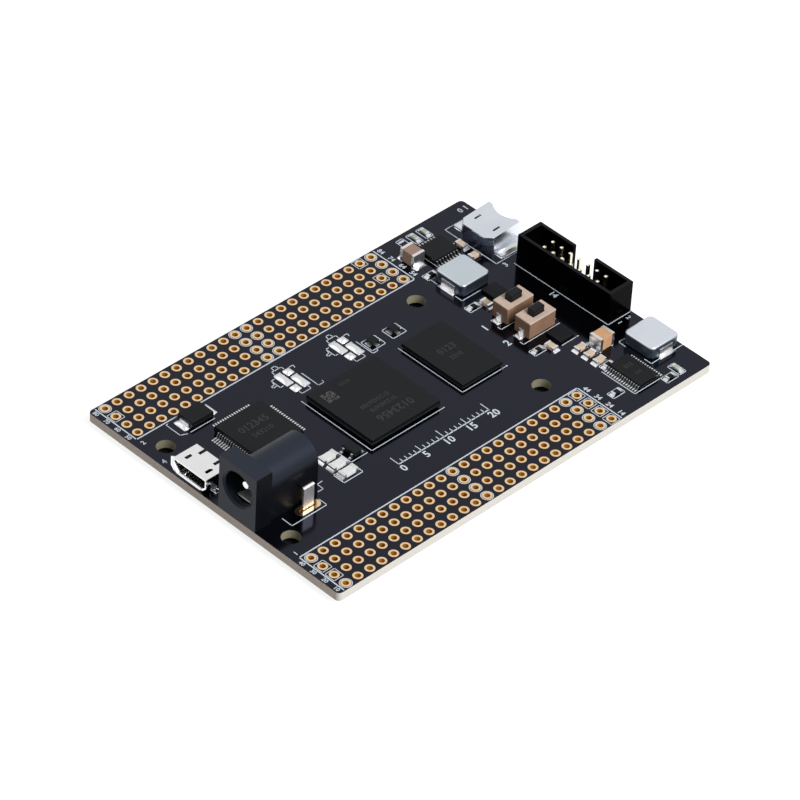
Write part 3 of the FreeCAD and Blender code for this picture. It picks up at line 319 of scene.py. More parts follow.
def keep(thing, finish, body="board", smooth=35):
    """Finish a modelled piece: its place goes into its mesh, then it gets its material, soft shading and
    the body that it rides on."""
    only(thing)
    bpy.ops.object.transform_apply(location=True, rotation=True, scale=True)
    thing.data.materials.clear()
    thing.data.materials.append(finish.material)
    bpy.ops.object.shade_smooth_by_angle(angle=radians(smooth))
    bpy.ops.object.modifier_add(type="WEIGHTED_NORMAL")
    evened = thing.modifiers[-1]
    evened.keep_sharp = True
    evened.weight = 100
    bpy.ops.object.modifier_apply(modifier=evened.name)
    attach(thing, body)


def joined(name, things):
    """Several objects made one mesh object of that name."""
    bpy.ops.object.select_all(action="DESELECT")
    for thing in things:
        thing.select_set(True)
    bpy.context.view_layer.objects.active = things[0]
    if len(things) > 1:
        bpy.ops.object.join()
    whole = bpy.context.object
    whole.name = name
    whole.data.name = name
    return whole


def copy_of(master, matrix):
    """A copy of a modelled shape with its own mesh, moved by a matrix."""
    copy = master.copy()
    copy.data = master.data.copy()
    bpy.context.collection.objects.link(copy)
    copy.data.transform(matrix)
    return copy


# A dot of ink a unit wide. Its corners keep clear of the Y axis, so that it parts there into the two
# round ends of a line.
dot_corners = 12
bpy.ops.object.select_all(action="DESELECT")
bpy.ops.mesh.primitive_cylinder_add(vertices=dot_corners, radius=0.5, depth=1.0, location=(0, 0, 0.5),
                                    rotation=(0, 0, radians(180 / dot_corners)))
ink_dot = bpy.context.object
bpy.ops.object.transform_apply(location=True, rotation=True, scale=True)


def stroke(*points, width=ink_width):
    """A printed line with round ends through points on the board's face."""
    for (x0, y0), (x1, y1) in zip(points, points[1:]):
        run = Vector((x1 - x0, y1 - y0))
        line = copy_of(ink_dot, Matrix.Diagonal((width, width, ink_thick, 1.0)))
        for vertex in line.data.vertices:
            if vertex.co.x > 0:
                vertex.co.x += run.length
        turn = Matrix.Rotation(atan2(run.y, run.x), 4, "Z")
        line.data.transform(Matrix.Translation((x0, y0, top)) @ turn)
        printed.append(line)


def outline(low, high, width=ink_width):
    """A printed rectangle."""
    (x0, y0), (x1, y1) = low, high
    stroke((x0, y0), (x1, y0), (x1, y1), (x0, y1), (x0, y0), width=width)


def dash(x, y):
    """A short bold dash by the corner of a chip."""
    stroke((x, y), (x + 0.15 * MM, y), width=bold_width)


font_per_digit, boldness = 1.35, 0.03


def number(digits, x, y, size=1.1 * MM, turned=0.0, surface=top, into=printed):
    """Plain digits of about that height, centred on a point and turned by some degrees."""
    bpy.ops.object.select_all(action="DESELECT")
    bpy.ops.object.text_add(location=(0, 0, 0))
    text = bpy.context.object.data
    text.body = str(digits)
    text.size = size * font_per_digit
    text.align_x = "CENTER"
    text.align_y = "CENTER"
    text.extrude = ink_thick / 2
    text.offset = size * boldness
    text.resolution_u = 2
    bpy.ops.object.convert(target="MESH")
    raised = bpy.context.object
    raised.data.transform(Matrix.Translation((x, y, surface + ink_thick / 2))
                          @ Matrix.Rotation(radians(turned), 4, "Z"))
    into.append(raised)


def select_where(thing, test):
    """In edit mode, leave only the faces selected that pass a test."""
    bpy.ops.mesh.select_mode(type="FACE")
    bpy.ops.mesh.select_all(action="DESELECT")
    bpy.ops.object.mode_set(mode="OBJECT")
    for face in thing.data.polygons:
        face.select = test(face)
    bpy.ops.object.mode_set(mode="EDIT")


# A printed ring: a flat disc whose two faces are inset, with the middle taken out.
ring_reach, square_reach = 1.07 * MM, 1.02 * MM
bpy.ops.object.select_all(action="DESELECT")
bpy.ops.mesh.primitive_cylinder_add(vertices=28, radius=ring_reach, depth=ink_thick,
                                    location=(0, 0, ink_thick / 2))
ring_master = bpy.context.object
bpy.ops.object.transform_apply(location=True, rotation=True, scale=True)
bpy.ops.object.mode_set(mode="EDIT")
select_where(ring_master, lambda face: abs(face.normal.z) > 0.9)
bpy.ops.mesh.inset(thickness=fine_width)
bpy.ops.mesh.bridge_edge_loops()
bpy.ops.object.mode_set(mode="OBJECT")


def ring(x, y):
    """A printed ring round a hole."""
    printed.append(copy_of(ring_master, Matrix.Translation((x, y, top))))


def square(x, y):
    """A printed square round a hole."""
    outline((x - square_reach, y - square_reach), (x + square_reach, y + square_reach), width=fine_width)


def boxes(node):
    """Lowest and highest corner of each separate solid of a CAD node: points that share a face belong
    to one solid."""
    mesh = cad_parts[node].data
    spots, parent = {}, []

    def root(index):
        while parent[index] != index:
            index = parent[index]
        return index

    def spot(vertex):
        key = tuple(round(c, 7) for c in mesh.vertices[vertex].co)
        if key not in spots:
            spots[key] = len(parent)
            parent.append(len(parent))
        return spots[key]

    for face in mesh.polygons:
        first, *others = [spot(vertex) for vertex in face.vertices]
        for other in others:
            parent[root(other)] = root(first)
    corners = {}
    for key, index in spots.items():
        corners.setdefault(root(index), []).append(key)
    found = []
    for group in corners.values():
        low = Vector([min(c[axis] for c in group) for axis in range(3)])
        high = Vector([max(c[axis] for c in group) for axis in range(3)])
        found.append((low, high))
    return sorted(found, key=lambda pair: (round(pair[0].y, 5), round(pair[0].x, 5)))


ring_radius = 0.85 * MM
near_low, near_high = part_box("near_header_barrels")
far_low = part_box("far_header_barrels")[0]
rows = 4
pitch = (near_high.y - near_low.y - 2 * ring_radius) / (rows - 1)
columns = round((near_high.x - near_low.x - 2 * ring_radius) / pitch) + 1
column_x = [near_low.x + ring_radius + pitch * step for step in range(columns)]
near_y = [near_low.y + ring_radius + pitch * step for step in range(rows)]
far_y = [far_low.y + ring_radius + pitch * step for step in range(rows)]

# A frame round each strip, open at the board's edge, then the marks round its special holes and the
# number of each row at both of its ends.
left, right = near_low.x - 0.45 * MM, near_high.x + 0.55 * MM
near_line, far_line = near_high.y + 0.43 * MM, far_low.y - 0.35 * MM
margin = 0.35 * MM
for edge_y, line_y in ((board_low.y + margin, near_line), (board_high.y - margin, far_line)):
    stroke((left, edge_y), (left, line_y), (right, line_y), (right, edge_y), width=frame_width)

near_rings = [(column, row) for column in (12, 22) for row in range(rows)] + [(0, 0), (0, 3)]
near_squares = [(23, row) for row in range(rows)] + [(0, 1), (0, 2)]
far_rings = [(column, row) for column in (11, 12, 23) for row in range(rows)] + [(0, 3)]
far_squares = [(0, 2), (22, 3), (22, 1)]
for marked, mark, row_y in ((near_rings, ring, near_y), (near_squares, square, near_y),
                            (far_rings, ring, far_y), (far_squares, square, far_y)):
    for column, row in marked:
        mark(column_x[column], row_y[row])
bpy.data.objects.remove(ring_master)

for first, row_y in ((10, near_y), (50, far_y)):
    for row, y in enumerate(row_y):
        number(first + row * 10, left - 0.66 * MM, y, size=0.8 * MM, turned=-90)
        number(first + row * 10 + rows, right + 0.85 * MM, y, size=0.95 * MM, turned=-90)
number(1, near_low.x - 0.2 * MM, near_line + 1.0 * MM, size=0.9 * MM)
number(2, near_low.x - 0.2 * MM, far_line - 1.3 * MM, size=0.9 * MM)


def corner_mark(node, gap):
    """Printed lines along the left and the near side of a chip."""
    low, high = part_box(node)
    x0, y0 = low.x - gap, low.y - gap
    stroke((x0, high.y + gap), (x0, y0), (high.x + gap, y0))


# Corners beside the chips, a frame round each three-terminal chip, and dashes past some corners.
chip_gap = 0.3 * MM
corner_mark("logic_cap", 0.5 * MM)
for node in ("memory_cap", "side_converter_leads", "main_converter_leads"):
    corner_mark(node, chip_gap)
memory_low, memory_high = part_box("memory_cap")
for start in (-0.4, 0.6):
    dash(memory_high.x + start * MM, memory_low.y - chip_gap)
for low, high in boxes("tripod_bodies"):
    outline((low.x - 0.75 * MM, low.y - 0.75 * MM), (high.x + 0.75 * MM, high.y + 0.45 * MM))
for low, high in boxes("power_switches"):
    line_y = low.y - 0.42 * MM
    stroke((low.x, line_y), (high.x, line_y))
    dash(high.x + 0.35 * MM, line_y)

# The power diode, the auxiliary regulator and the row of fuses.
diode_low, diode_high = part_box("diode_body")
tabs_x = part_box("diode_tabs")[0].x
line_x, line_y = tabs_x - 1.5 * MM, diode_low.y - 0.35 * MM
stroke((tabs_x - 1.1 * MM, diode_high.y), (line_x, diode_high.y), (line_x, diode_low.y + 0.2 * MM),
       (tabs_x - 0.4 * MM, diode_low.y - 0.3 * MM))
stroke((diode_low.x - 0.6 * MM, line_y), (diode_high.x - 0.1 * MM, line_y))

regulator_low, regulator_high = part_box("regulator_leads")
line_x, line_y = regulator_low.x - 0.35 * MM, regulator_low.y - 0.6 * MM
stroke((line_x, regulator_high.y + 0.3 * MM), (line_x, line_y), (regulator_high.x + 0.35 * MM, line_y))

fuses_low, fuses_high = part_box("fuse_ends")
outline((fuses_low.x - 0.5 * MM, fuses_low.y - 0.5 * MM), (fuses_high.x + 0.5 * MM, fuses_low.y + 1.9 * MM))

# The cell retainer, whose outline runs off to the board's end.
retainer_low, retainer_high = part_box("cell_retainer")
retainer_y = (retainer_low.y + retainer_high.y) / 2
clip_left, clip_right = retainer_low.x - 0.55 * MM, board_high.x - 0.5 * MM
clip_near, clip_far = retainer_y - 6.05 * MM, retainer_y + 5.95 * MM
stroke((clip_right, clip_near), (clip_left, clip_near), (clip_left, clip_far), (clip_right, clip_far))

# Loose numbers: by the retainer, in the board's far corner and by the micro-USB socket.
number(3, clip_left + 1.0 * MM, retainer_y - 7.2 * MM)
number("0 1", board_high.x - 1.6 * MM, board_high.y - 2.0 * MM, size=1.2 * MM)
number(4, board_low.x + 0.95 * MM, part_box("usb_shell")[1].y + 1.1 * MM)

# The debug header, with the numbers of its last and first pins.
header_low, header_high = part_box("debug_housing")
header_gap = 0.15 * MM
header_line = header_low.x - 0.18 * MM
stroke((board_high.x - 0.3 * MM, header_low.y - header_gap), (header_line, header_low.y - header_gap),
       (header_line, header_high.y + header_gap))
number(14, header_low.x - 1.25 * MM, header_low.y + 11.2 * MM, size=1.15 * MM, turned=-90)
for pin, pin_x in ((1, 1.7), (2, 3.7)):
    number(pin, header_low.x + pin_x * MM, header_low.y - 1.0 * MM, size=0.9 * MM, turned=-90)

# The power jack: a bracket under its switch terminal and a stepped line beside its back.
tab_low, tab_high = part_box("jack_switch_terminal")
bracket_left, bracket_right = tab_low.x - 3.65 * MM, tab_high.x + 1.55 * MM
line_y = tab_low.y - 1.35 * MM
stroke((bracket_left, tab_low.y + 0.8 * MM), (bracket_left, line_y), (bracket_right, line_y),
       (bracket_right, tab_low.y + 0.4 * MM))
back_x, back_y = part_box("jack_housing")[1].x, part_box("jack_housing")[0].y
stroke(*[(back_x + x * MM, back_y + y * MM) for x, y in ((0.4, 0.6), (1.5, 0.6), (1.5, 2.0), (2.6, 2.0))])

# The inductors: a corner and a return beside each.
inductor_gap, corner_run = 0.4 * MM, 1.5 * MM
for node in ("main_inductor_body", "side_inductor_body"):
    low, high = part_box(node)
    x0, y0, y1 = low.x - inductor_gap, low.y - inductor_gap, high.y + inductor_gap
    stroke((x0, y0 + corner_run), (x0, y0), (high.x + inductor_gap, y0))
    stroke((x0, y1 - corner_run), (x0, y1), (x0 + corner_run, y1))

# The push buttons.
for label, button in ((1, "program_button_base"), (2, "reset_button_base")):
    low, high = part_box(button)
    number(label, low.x - 3.2 * MM, (low.y + high.y) / 2, size=1.5 * MM)
    x0, y0 = low.x - 1.5 * MM, low.y - 0.25 * MM
    stroke((x0, low.y + 0.5 * MM), (x0, y0), (high.x + 0.8 * MM, y0))

# A plain ruler along the board takes the open place below the logic chip: a tick to the millimetre,
# longer at each fifth and longest at each tenth.
logic_low, logic_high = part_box("logic_cap")
ruler_x, ruler_y, ruler_length = logic_low.x + 0.4 * MM, logic_low.y - 5.6 * MM, 20
stroke((ruler_x, ruler_y), (ruler_x + ruler_length * MM, ruler_y), width=ruler_width)
for tick in range(ruler_length + 1):
    reach = 1.9 if tick % 10 == 0 else 1.4 if tick % 5 == 0 else 0.8
    x = ruler_x + tick * MM
    stroke((x, ruler_y), (x, ruler_y + reach * MM))
for tick in range(0, ruler_length + 1, 5):
    number(tick, ruler_x + tick * MM, ruler_y - 1.2 * MM, size=1.5 * MM)

# The print round each of the two four-pad footprints that hold no part, in millimetres from its
# middle: two stacked tabs on the far side, a tab and an arrow on the left, a tab on the near side,
# and a corner and a long hook on the right.
footprint_pads = [pair for pair in boxes("tinned_pads") if pair[1].x < retainer_low.x]
footprint_print = (((-1.2, 2.8), (-1.2, 3.45), (0.9, 3.45), (0.9, 2.8)),
                   ((-0.6, 3.45), (-0.5, 4.3), (0.3, 4.3), (0.4, 3.45)),
                   ((-2.1, 1.95), (-2.7, 1.95), (-2.7, -0.2), (-2.1, -0.2)),
                   ((-3.7, 0.9), (-3.0, 0.9), (-2.8, 1.5)), ((-3.7, 0.9), (-3.6, 0.4), (-2.8, 0.5)),
                   ((-1.1, -2.8), (-1.1, -3.5), (0.9, -3.5), (0.9, -2.8)),
                   ((1.9, 2.6), (2.7, 2.6), (2.5, 2.0)),
                   ((2.3, 0.15), (2.3, -3.75), (3.5, -3.75), (3.5, -3.3)))
between_x = sum((low.x + high.x) / 2 for low, high in footprint_pads) / len(footprint_pads)
for on_left in (True, False):
    lows, highs = zip(*[pair for pair in footprint_pads if (pair[0].x < between_x) == on_left])
    middle_x = (min(low.x for low in lows) + max(high.x for high in highs)) / 2
    middle_y = (min(low.y for low in lows) + max(high.y for high in highs)) / 2
    for path in footprint_print:
        stroke(*[(middle_x + x * MM, middle_y + y * MM) for x, y in path])

# Small outlines round the chip resistors and the indicators, and one round the free place beside
# the indicators, with a bar at both of its ends.
beside, beyond = 0.4 * MM, 0.85 * MM
for node in ("resistor_bodies", "led_bodies"):
    for low, high in boxes(node):
        along_x = (high.x - low.x) > (high.y - low.y)
        grow_x, grow_y = (beyond, beside) if along_x else (beside, beyond)
        outline((low.x - grow_x, low.y - grow_y), (high.x + grow_x, high.y + grow_y), width=small_width)
row_of_leds = sorted((pair for pair in boxes("led_bodies") if pair[0].y > 0), key=lambda pair: pair[0].x)
low, high = row_of_leds[0]
led_pitch = row_of_leds[1][0].x - low.x
free_left, free_right = low.x - led_pitch, high.x - led_pitch
outline((free_left - beside, low.y - beyond), (free_right + beside, high.y + beyond), width=small_width)
bar_width = 0.5 * MM
for bar_y in (low.y - 0.4 * MM, high.y + 0.3 * MM):
    stroke((free_left, bar_y), (free_right, bar_y), width=bar_width)
keep(joined("silkscreen", printed), white_ink, smooth=20)

# ---------------------------------------------------------------------------
# Solder
# Tin alloy, reflowed on bare pads: bright concave fillets at the ends of chip parts, thin pads under
# the leads, and domed blobs on the pads that hold no part.
# ---------------------------------------------------------------------------

tin = Finish("reflowed_solder", metallic=1.0)
flow = tin.noise(2300.0, 3.0)
tin.set("Base Color", tin.blend((0.74, 0.75, 0.78), (0.9, 0.9, 0.9), flow))
tin.set("Roughness", 0.2 + 0.2 * flow)
tin.bump(flow, 0.15, 0.00003)


def select_edges(thing, test):
    """In edit mode, leave only the edges selected whose two ends pass a test."""
    bpy.ops.mesh.select_mode(type="EDGE")
    bpy.ops.mesh.select_all(action="DESELECT")
    bpy.ops.object.mode_set(mode="OBJECT")
    points = [vertex.co for vertex in thing.data.vertices]
    for edge in thing.data.edges:
        edge.select = all(test(points[vertex]) for vertex in edge.vertices)
    bpy.ops.object.mode_set(mode="EDIT")


def eased_block(start_x, offset, segments, profile, test):
    """A block a unit long, wide and high from that X on. The edges whose two ends pass a test are
    bevelled."""
    bpy.ops.object.select_all(action="DESELECT")
    bpy.ops.mesh.primitive_cube_add(size=1.0, location=(start_x + 0.5, 0, 0.5))
    thing = bpy.context.object
    bpy.ops.object.transform_apply(location=True, rotation=True, scale=True)
    bpy.ops.object.mode_set(mode="EDIT")
    select_edges(thing, test)
    bpy.ops.mesh.bevel(offset=offset, segments=segments, profile=profile, affect="EDGES")
    bpy.ops.object.mode_set(mode="OBJECT")
    return thing


# A hollow fillet that rises towards -X, where the part's end cap stands, and a pad with eased edges.
fillet = eased_block(0.0, 0.9, 5, 0.28, lambda point: point.x > 0.9 and point.z > 0.9)
pad = eased_block(-0.5, 0.12, 2, 0.5, lambda point: point.z > 0.9)


def solder_end(low, high, direction, reach, height):
    """A fillet against one end cap, which faces that way: 0, 90, 180 or 270 degrees."""
    along, across = (0, 1) if direction % 180 == 0 else (1, 0)
    wide = high[across] - low[across] + 0.12 * MM
    start = (low + high) / 2
    start[along] = high[along] if direction < 180 else low[along]
    start.z = top
    return copy_of(fillet, Matrix.Translation(start) @ Matrix.Rotation(radians(direction), 4, "Z")
                   @ Matrix.Diagonal((reach, wide, height, 1.0)))


# A fillet on the outer end of every cap. Each kind of cap has how far its solder reaches out and the
# share of its height that the solder climbs.
joints = []
body_nodes = ("capacitor_bodies", "resistor_bodies", "led_bodies", "bulk_capacitor_bodies", "fuse_bodies")
body_middles = [(low + high) / 2 for node in body_nodes for low, high in boxes(node)]
for node, reach, share in (("small_end_caps", 0.42 * MM, 0.3), ("fuse_ends", 0.4 * MM, 0.5)):
    for low, high in boxes(node):
        cap = (low + high) / 2
        away = (cap - min(body_middles, key=lambda body: (body - cap).xy.length)).xy
        direction = round(degrees(Vector((1, 0)).angle_signed(away)) / -90) * 90 % 360
        joints.append(solder_end(low, high, direction, reach, (high.z - low.z) * share))
keep(joined("solder_fillets", joints), tin)


def laid_pad(x, y, size_x, size_y, thick=0.03 * MM, surface=top):
    """A pad of that size with its middle at a place."""
    return copy_of(pad, Matrix.Translation((x, y, surface)) @ Matrix.Diagonal((size_x, size_y, thick, 1.0)))


# A pad under every lead. Each kind of lead has the length of its pad, how far it runs out past the
# lead's tip, and its width where that isn't the lead's own and a little more.
pads = []
for node, long, past, broad in (("bridge_leads", 1.0 * MM, 0.5 * MM, None),
                                ("main_converter_leads", 1.0 * MM, 0.1 * MM, None),
                                ("side_converter_leads", 1.0 * MM, 0.1 * MM, None),
                                ("regulator_leads", 0.7 * MM, 0.1 * MM, 0.5 * MM)):
    chip_low, chip_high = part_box(node)
    chip = (chip_low + chip_high) / 2
    for low, high in boxes(node):
        along, across = (0, 1) if (high.x - low.x) > (high.y - low.y) else (1, 0)
        spot, size = (low + high) / 2, Vector((0.0, 0.0))
        size[along], size[across] = long, broad or (high[across] - low[across]) * 1.15
        outward = spot[along] > chip[along]
        spot[along] = high[along] + past - long / 2 if outward else low[along] - past + long / 2
        pads.append(laid_pad(spot.x, spot.y, *size))
pad_rim = 0.28 * MM
for node in ("reset_button_terminals", "program_button_terminals", "main_inductor_terminals",
             "side_inductor_terminals", "diode_tabs"):
    for low, high in boxes(node):
        spot, size = (low + high) / 2, high - low
        pads.append(laid_pad(spot.x, spot.y, size.x + 2 * pad_rim, size.y + 2 * pad_rim))
keep(joined("solder_pads", pads), tin)


def dome_over(low, high, grow, height):
    """A drop of solder over a pad and a little past it: full in the middle, thin at its rim."""
    rim, fullness = 0.01 * MM, 2.6
    bpy.ops.object.select_all(action="DESELECT")
    bpy.ops.mesh.primitive_grid_add(x_subdivisions=10, y_subdivisions=10, size=2, location=(0, 0, 0))
    drop = bpy.context.object
    for vertex in drop.data.vertices:
        x, y = vertex.co.xy
        swell = (1 - abs(x) ** fullness) * (1 - abs(y) ** fullness)
        vertex.co = ((low[0] + high[0]) / 2 + x * ((high[0] - low[0]) / 2 + grow),
                     (low[1] + high[1]) / 2 + y * ((high[1] - low[1]) / 2 + grow),
                     top - rim + swell * height)
    bpy.ops.object.mode_set(mode="EDIT")
    bpy.ops.mesh.select_mode(type="EDGE")
    bpy.ops.mesh.select_all(action="SELECT")
    bpy.ops.mesh.region_to_loop()
    bpy.ops.mesh.edge_face_add()
    bpy.ops.mesh.select_all(action="SELECT")
    bpy.ops.mesh.normals_make_consistent(inside=False)
    bpy.ops.object.mode_set(mode="OBJECT")
    return drop


# Domed solder over the retainer's two feet, the diode's tabs, the outer ends of the bulk capacitors
# and the pads of the two footprints that hold no part.
drops = []
foot_left, foot_right = retainer_low.x + 1.0 * MM, retainer_high.x - 0.3 * MM
for y0, y1 in ((retainer_low.y - 0.15 * MM, retainer_low.y + 1.75 * MM),
               (retainer_high.y - 1.6 * MM, retainer_high.y + 0.15 * MM)):
    drops.append(dome_over((foot_left, y0), (foot_right, y1), 0.0, 0.8 * MM))
for low, high in boxes("diode_tabs"):
    drops.append(dome_over(low, high, 0.32 * MM, 0.5 * MM))
bulk_reach = 0.7 * MM
bulk_middles = [(low.y + high.y) / 2 for low, high in boxes("bulk_capacitor_bodies")]
for low, high in boxes("bulk_capacitor_ends"):
    end_y = (low.y + high.y) / 2
    body_y = min(bulk_middles, key=lambda y: abs(y - end_y))
    y0, y1 = (low.y - bulk_reach, high.y) if end_y < body_y else (low.y, high.y + bulk_reach)
    drops.append(dome_over((low.x, y0), (high.x, y1), 0.05 * MM, 0.6 * MM))
for low, high in footprint_pads:
    drops.append(dome_over(low, high, 0.08 * MM, 0.45 * MM))
keep(joined("footprint_solder", drops), tin, smooth=70)
dress("tinned_pads", tin)

# ---------------------------------------------------------------------------
# Chips
# Black epoxy moulded round a lead frame or on a ball grid; the top is finely matt from the mould,
# with faint laser marks. Gull-wing leads are tinned copper.
# ---------------------------------------------------------------------------


def softened(node, width, finish, body="board", segments=2, angle=30):
    """A copy of a CAD node with its sharp edges eased over, which stands for the node. Its loose
    triangles are welded, and flat faces made whole, before its edges are bevelled."""
    weld, flat_within = 0.0001 * MM, radians(2)
    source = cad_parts[node]
    piece = source.copy()
    piece.data = source.data.copy()
    piece.name = node + "_eased"
    piece.parent = None
    bpy.context.collection.objects.link(piece)
    only(piece)
    bpy.ops.object.mode_set(mode="EDIT")
    bpy.ops.mesh.select_all(action="SELECT")
    bpy.ops.mesh.remove_doubles(threshold=weld)
    bpy.ops.mesh.dissolve_limited(angle_limit=flat_within)
    bpy.ops.object.mode_set(mode="OBJECT")
    bpy.ops.object.modifier_add(type="BEVEL")
    eased = piece.modifiers[-1]
    eased.width = width
    eased.segments = segments
    eased.limit_method = "ANGLE"
    eased.angle_limit = radians(angle)
    eased.use_clamp_overlap = True
    bpy.ops.object.modifier_apply(modifier=eased.name)
    keep(piece, finish, body, smooth=40)
    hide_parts(node)


def mould(name, dark, light, grain=4200.0, rough=0.5, shine=0.2, sheen=0.1, top_painted_light=None):
    """Moulded black plastic with fine grain and a faint cloud. Upward faces are rough and the others
    have a sheen, and the paler tone, where one is given, is painted on upward faces as painted light."""
    finish = Finish(name, specular_ior_level=shine, specular_tint=(0.82, 0.88, 1.0))
    coarse, fine = finish.noise(260.0, 3.0), finish.noise(grain, 2.0)
    upward = finish.facing_up().at_least(0.0)
    tone = finish.blend(dark, light, coarse * 0.5 + fine * 0.5)
    # Painted light: upward faces get the paler tone where one is given.
    finish.set("Base Color", finish.blend(tone, top_painted_light, upward) if top_painted_light else tone)
    finish.set("Roughness", sheen + (rough - sheen) * upward + 0.12 * coarse)
    finish.bump(fine, 0.35, 0.00003)
    return finish


epoxy = mould("moulded_epoxy", (0.0045, 0.0045, 0.005), (0.0095, 0.0095, 0.0102), rough=0.55)
laminate = mould("package_laminate", (0.003, 0.005, 0.004), (0.006, 0.009, 0.007), rough=0.35)
for node in ("logic_cap", "memory_cap", "bridge_body", "main_converter_body", "side_converter_body",
             "regulator_body", "diode_body"):
    softened(node, 0.05 * MM, epoxy)
for node in ("power_switches", "tripod_bodies"):
    softened(node, 0.04 * MM, epoxy)
for node in ("logic_substrate", "memory_substrate"):
    dress(node, laminate)
for node in ("logic_balls", "memory_balls"):
    dress(node, tin)

leads = Finish("tinned_leads", metallic=1.0)
streak = leads.noise(1800.0, 3.0)
leads.set("Base Color", leads.blend((0.74, 0.74, 0.76), (0.92, 0.92, 0.92), streak))
leads.set("Roughness", 0.24 + 0.14 * streak)
leads.bump(streak, 0.1, 0.00001)

# The bent runs of gull-wing leads are painted near black as shade, and their flat faces are bright and less
# metallic, so they catch the light.
gull_wing = Finish("gull_wing_leads", roughness=0.32)
level = gull_wing.facing_up() > 0.6
bright = gull_wing.blend((0.78, 0.78, 0.8), (0.94, 0.94, 0.94), gull_wing.noise(1800.0, 3.0))
# Painted shade: the bent runs are near black.
gull_wing.set("Base Color", gull_wing.blend((0.14, 0.14, 0.15), bright, level))
gull_wing.set("Metallic", 1 - 0.65 * level)
for node in ("bridge_leads", "main_converter_leads", "side_converter_leads", "regulator_leads"):
    dress(node, gull_wing)
for node in ("tripod_tabs", "diode_tabs", "bulk_capacitor_ends", "small_end_caps", "fuse_ends",
             "tail_solder"):
    dress(node, leads)


def etched(name, dark, light):
    """The matt tone that a laser leaves on moulded epoxy."""
    finish = Finish(name, specular_ior_level=0.2, roughness=0.7)
    finish.set("Base Color", finish.blend(dark, light, finish.noise(2600.0, 2.0)))
    return finish


# Laser marks on the logic chip: rows of digits, each with its height and its place from the near
# edge in millimetres, and a brighter square patch of random dots.
marks, dots = [], []
random.seed(7)
logic_middle, cap_top = (logic_low.x + logic_high.x) / 2, logic_high.z
for row, (digits, size, up) in enumerate((("0123456", 1.6, 3.2), ("012345678", 0.9, 5.4),
                                          ("0123456789", 0.9, 6.9), ("0123", 0.8, 13.2))):
    number(digits, logic_middle + (0.6 - row * 0.5) * MM, logic_low.y + up * MM, size=size * MM,
           turned=180, surface=cap_top, into=marks)
cells, cell = 12, 0.19 * MM
patch_x, patch_y = logic_low.x + 1.3 * MM, logic_high.y - 4.0 * MM
for column in range(cells):
    for row in range(cells):
        if random.random() < 0.5:
            dots.append(laid_pad(patch_x + (column + 0.5) * cell, patch_y + (row + 0.5) * cell,
                                 cell * 0.9, cell * 0.9, ink_thick, cap_top))

# Two rows of digits on each of the other large chips.
for node, digits, size in (("memory_cap", "0123", 1.4), ("bridge_body", "012345", 1.5),
                           ("side_converter_body", "012", 0.9)):
    low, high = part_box(node)
    middle = (low + high) / 2
    number(digits, middle.x, middle.y + 1.2 * MM, size=size * MM, surface=high.z, into=marks)
    number(digits[::-1], middle.x, middle.y - 1.0 * MM, size=size * 0.7 * MM, surface=high.z, into=marks)
keep(joined("laser_marks", marks), etched("laser_mark", (0.026, 0.026, 0.026), (0.046, 0.046, 0.046)),
     smooth=20)
keep(joined("laser_patch", dots), etched("bright_laser_mark", (0.07, 0.07, 0.065), (0.14, 0.14, 0.13)),
     smooth=20)

# ---------------------------------------------------------------------------
# Power jack
# A one-piece black housing with a round bore, a turned centre pin, a leaf spring low in the bore,
# and stamped terminals soldered in slots.
# ---------------------------------------------------------------------------


def metal(name, dark, light, roughness, cloud=900.0):
    """Plated metal: two close tones in soft clouds."""
    finish = Finish(name, metallic=1.0, roughness=roughness)
    finish.set("Base Color", finish.blend(dark, light, finish.noise(cloud)))
    return finish


# The jack's upward faces get a paler blue-grey as painted light.
nylon = mould("jack_plastic", (0.0022, 0.0026, 0.0040), (0.0040, 0.0046, 0.0066), grain=2400.0,
              rough=0.38, shine=0.2, sheen=0.26, top_painted_light=(0.020, 0.024, 0.035))
nylon.set("Specular Tint", (0.62, 0.76, 1.0))
softened("jack_housing", 0.16 * MM, nylon, segments=3, angle=38)
pin_metal = metal("nickel_pin", (0.75, 0.75, 0.76), (0.88, 0.88, 0.88), 0.1)
for node in ("jack_centre_pin", "jack_rear_terminal"):
    dress(node, pin_metal)
dress("jack_spring", metal("leaf_spring", (0.86, 0.88, 0.88), (0.96, 0.97, 0.97), 0.5))
# Painted shade: the switch terminal's inner part, past its bent top, is near black.
tab_with_painted_shade = Finish("switch_tab_painted_shade", metallic=1.0, roughness=0.42)
painted_shade_inward = tab_with_painted_shade.axes(tab_with_painted_shade.place())[1] > tab_low.y + 0.45 * MM
tab_with_painted_shade.set("Base Color", tab_with_painted_shade.blend((0.94, 0.94, 0.94), (0.03, 0.03, 0.035), painted_shade_inward))
dress("jack_switch_terminal", tab_with_painted_shade)

# ---------------------------------------------------------------------------
# Micro-USB socket
# A drawn and folded steel shell with a flared mouth and latch windows, round a black insulator
# whose tongue carries five gold contacts.
# ---------------------------------------------------------------------------

shell_steel = Finish("bright_steel", metallic=1.0)
brushed = shell_steel.noise(700.0, 4.0)
shell_steel.set("Base Color", shell_steel.blend((0.90, 0.90, 0.91), (0.96, 0.96, 0.97), brushed))
shell_steel.set("Roughness", 0.1 + 0.08 * brushed)
shell_steel.bump(brushed, 0.1, 0.00004)
softened("usb_shell", 0.045 * MM, shell_steel, angle=35)
liner = mould("black_liner", (0.003, 0.003, 0.003), (0.006, 0.005, 0.005), rough=0.4)
dress("usb_insulator", liner)
# The contacts are a dark gold.
dress("usb_contacts", metal("dark_contact_gold", (0.28, 0.18, 0.08), (0.4, 0.28, 0.14), 0.4, 1500.0))

# ---------------------------------------------------------------------------
# Shrouded debug header
# A glossy black moulded tray with a key notch, and two rows of square gold-plated pins that go down
# through the board.
# ---------------------------------------------------------------------------

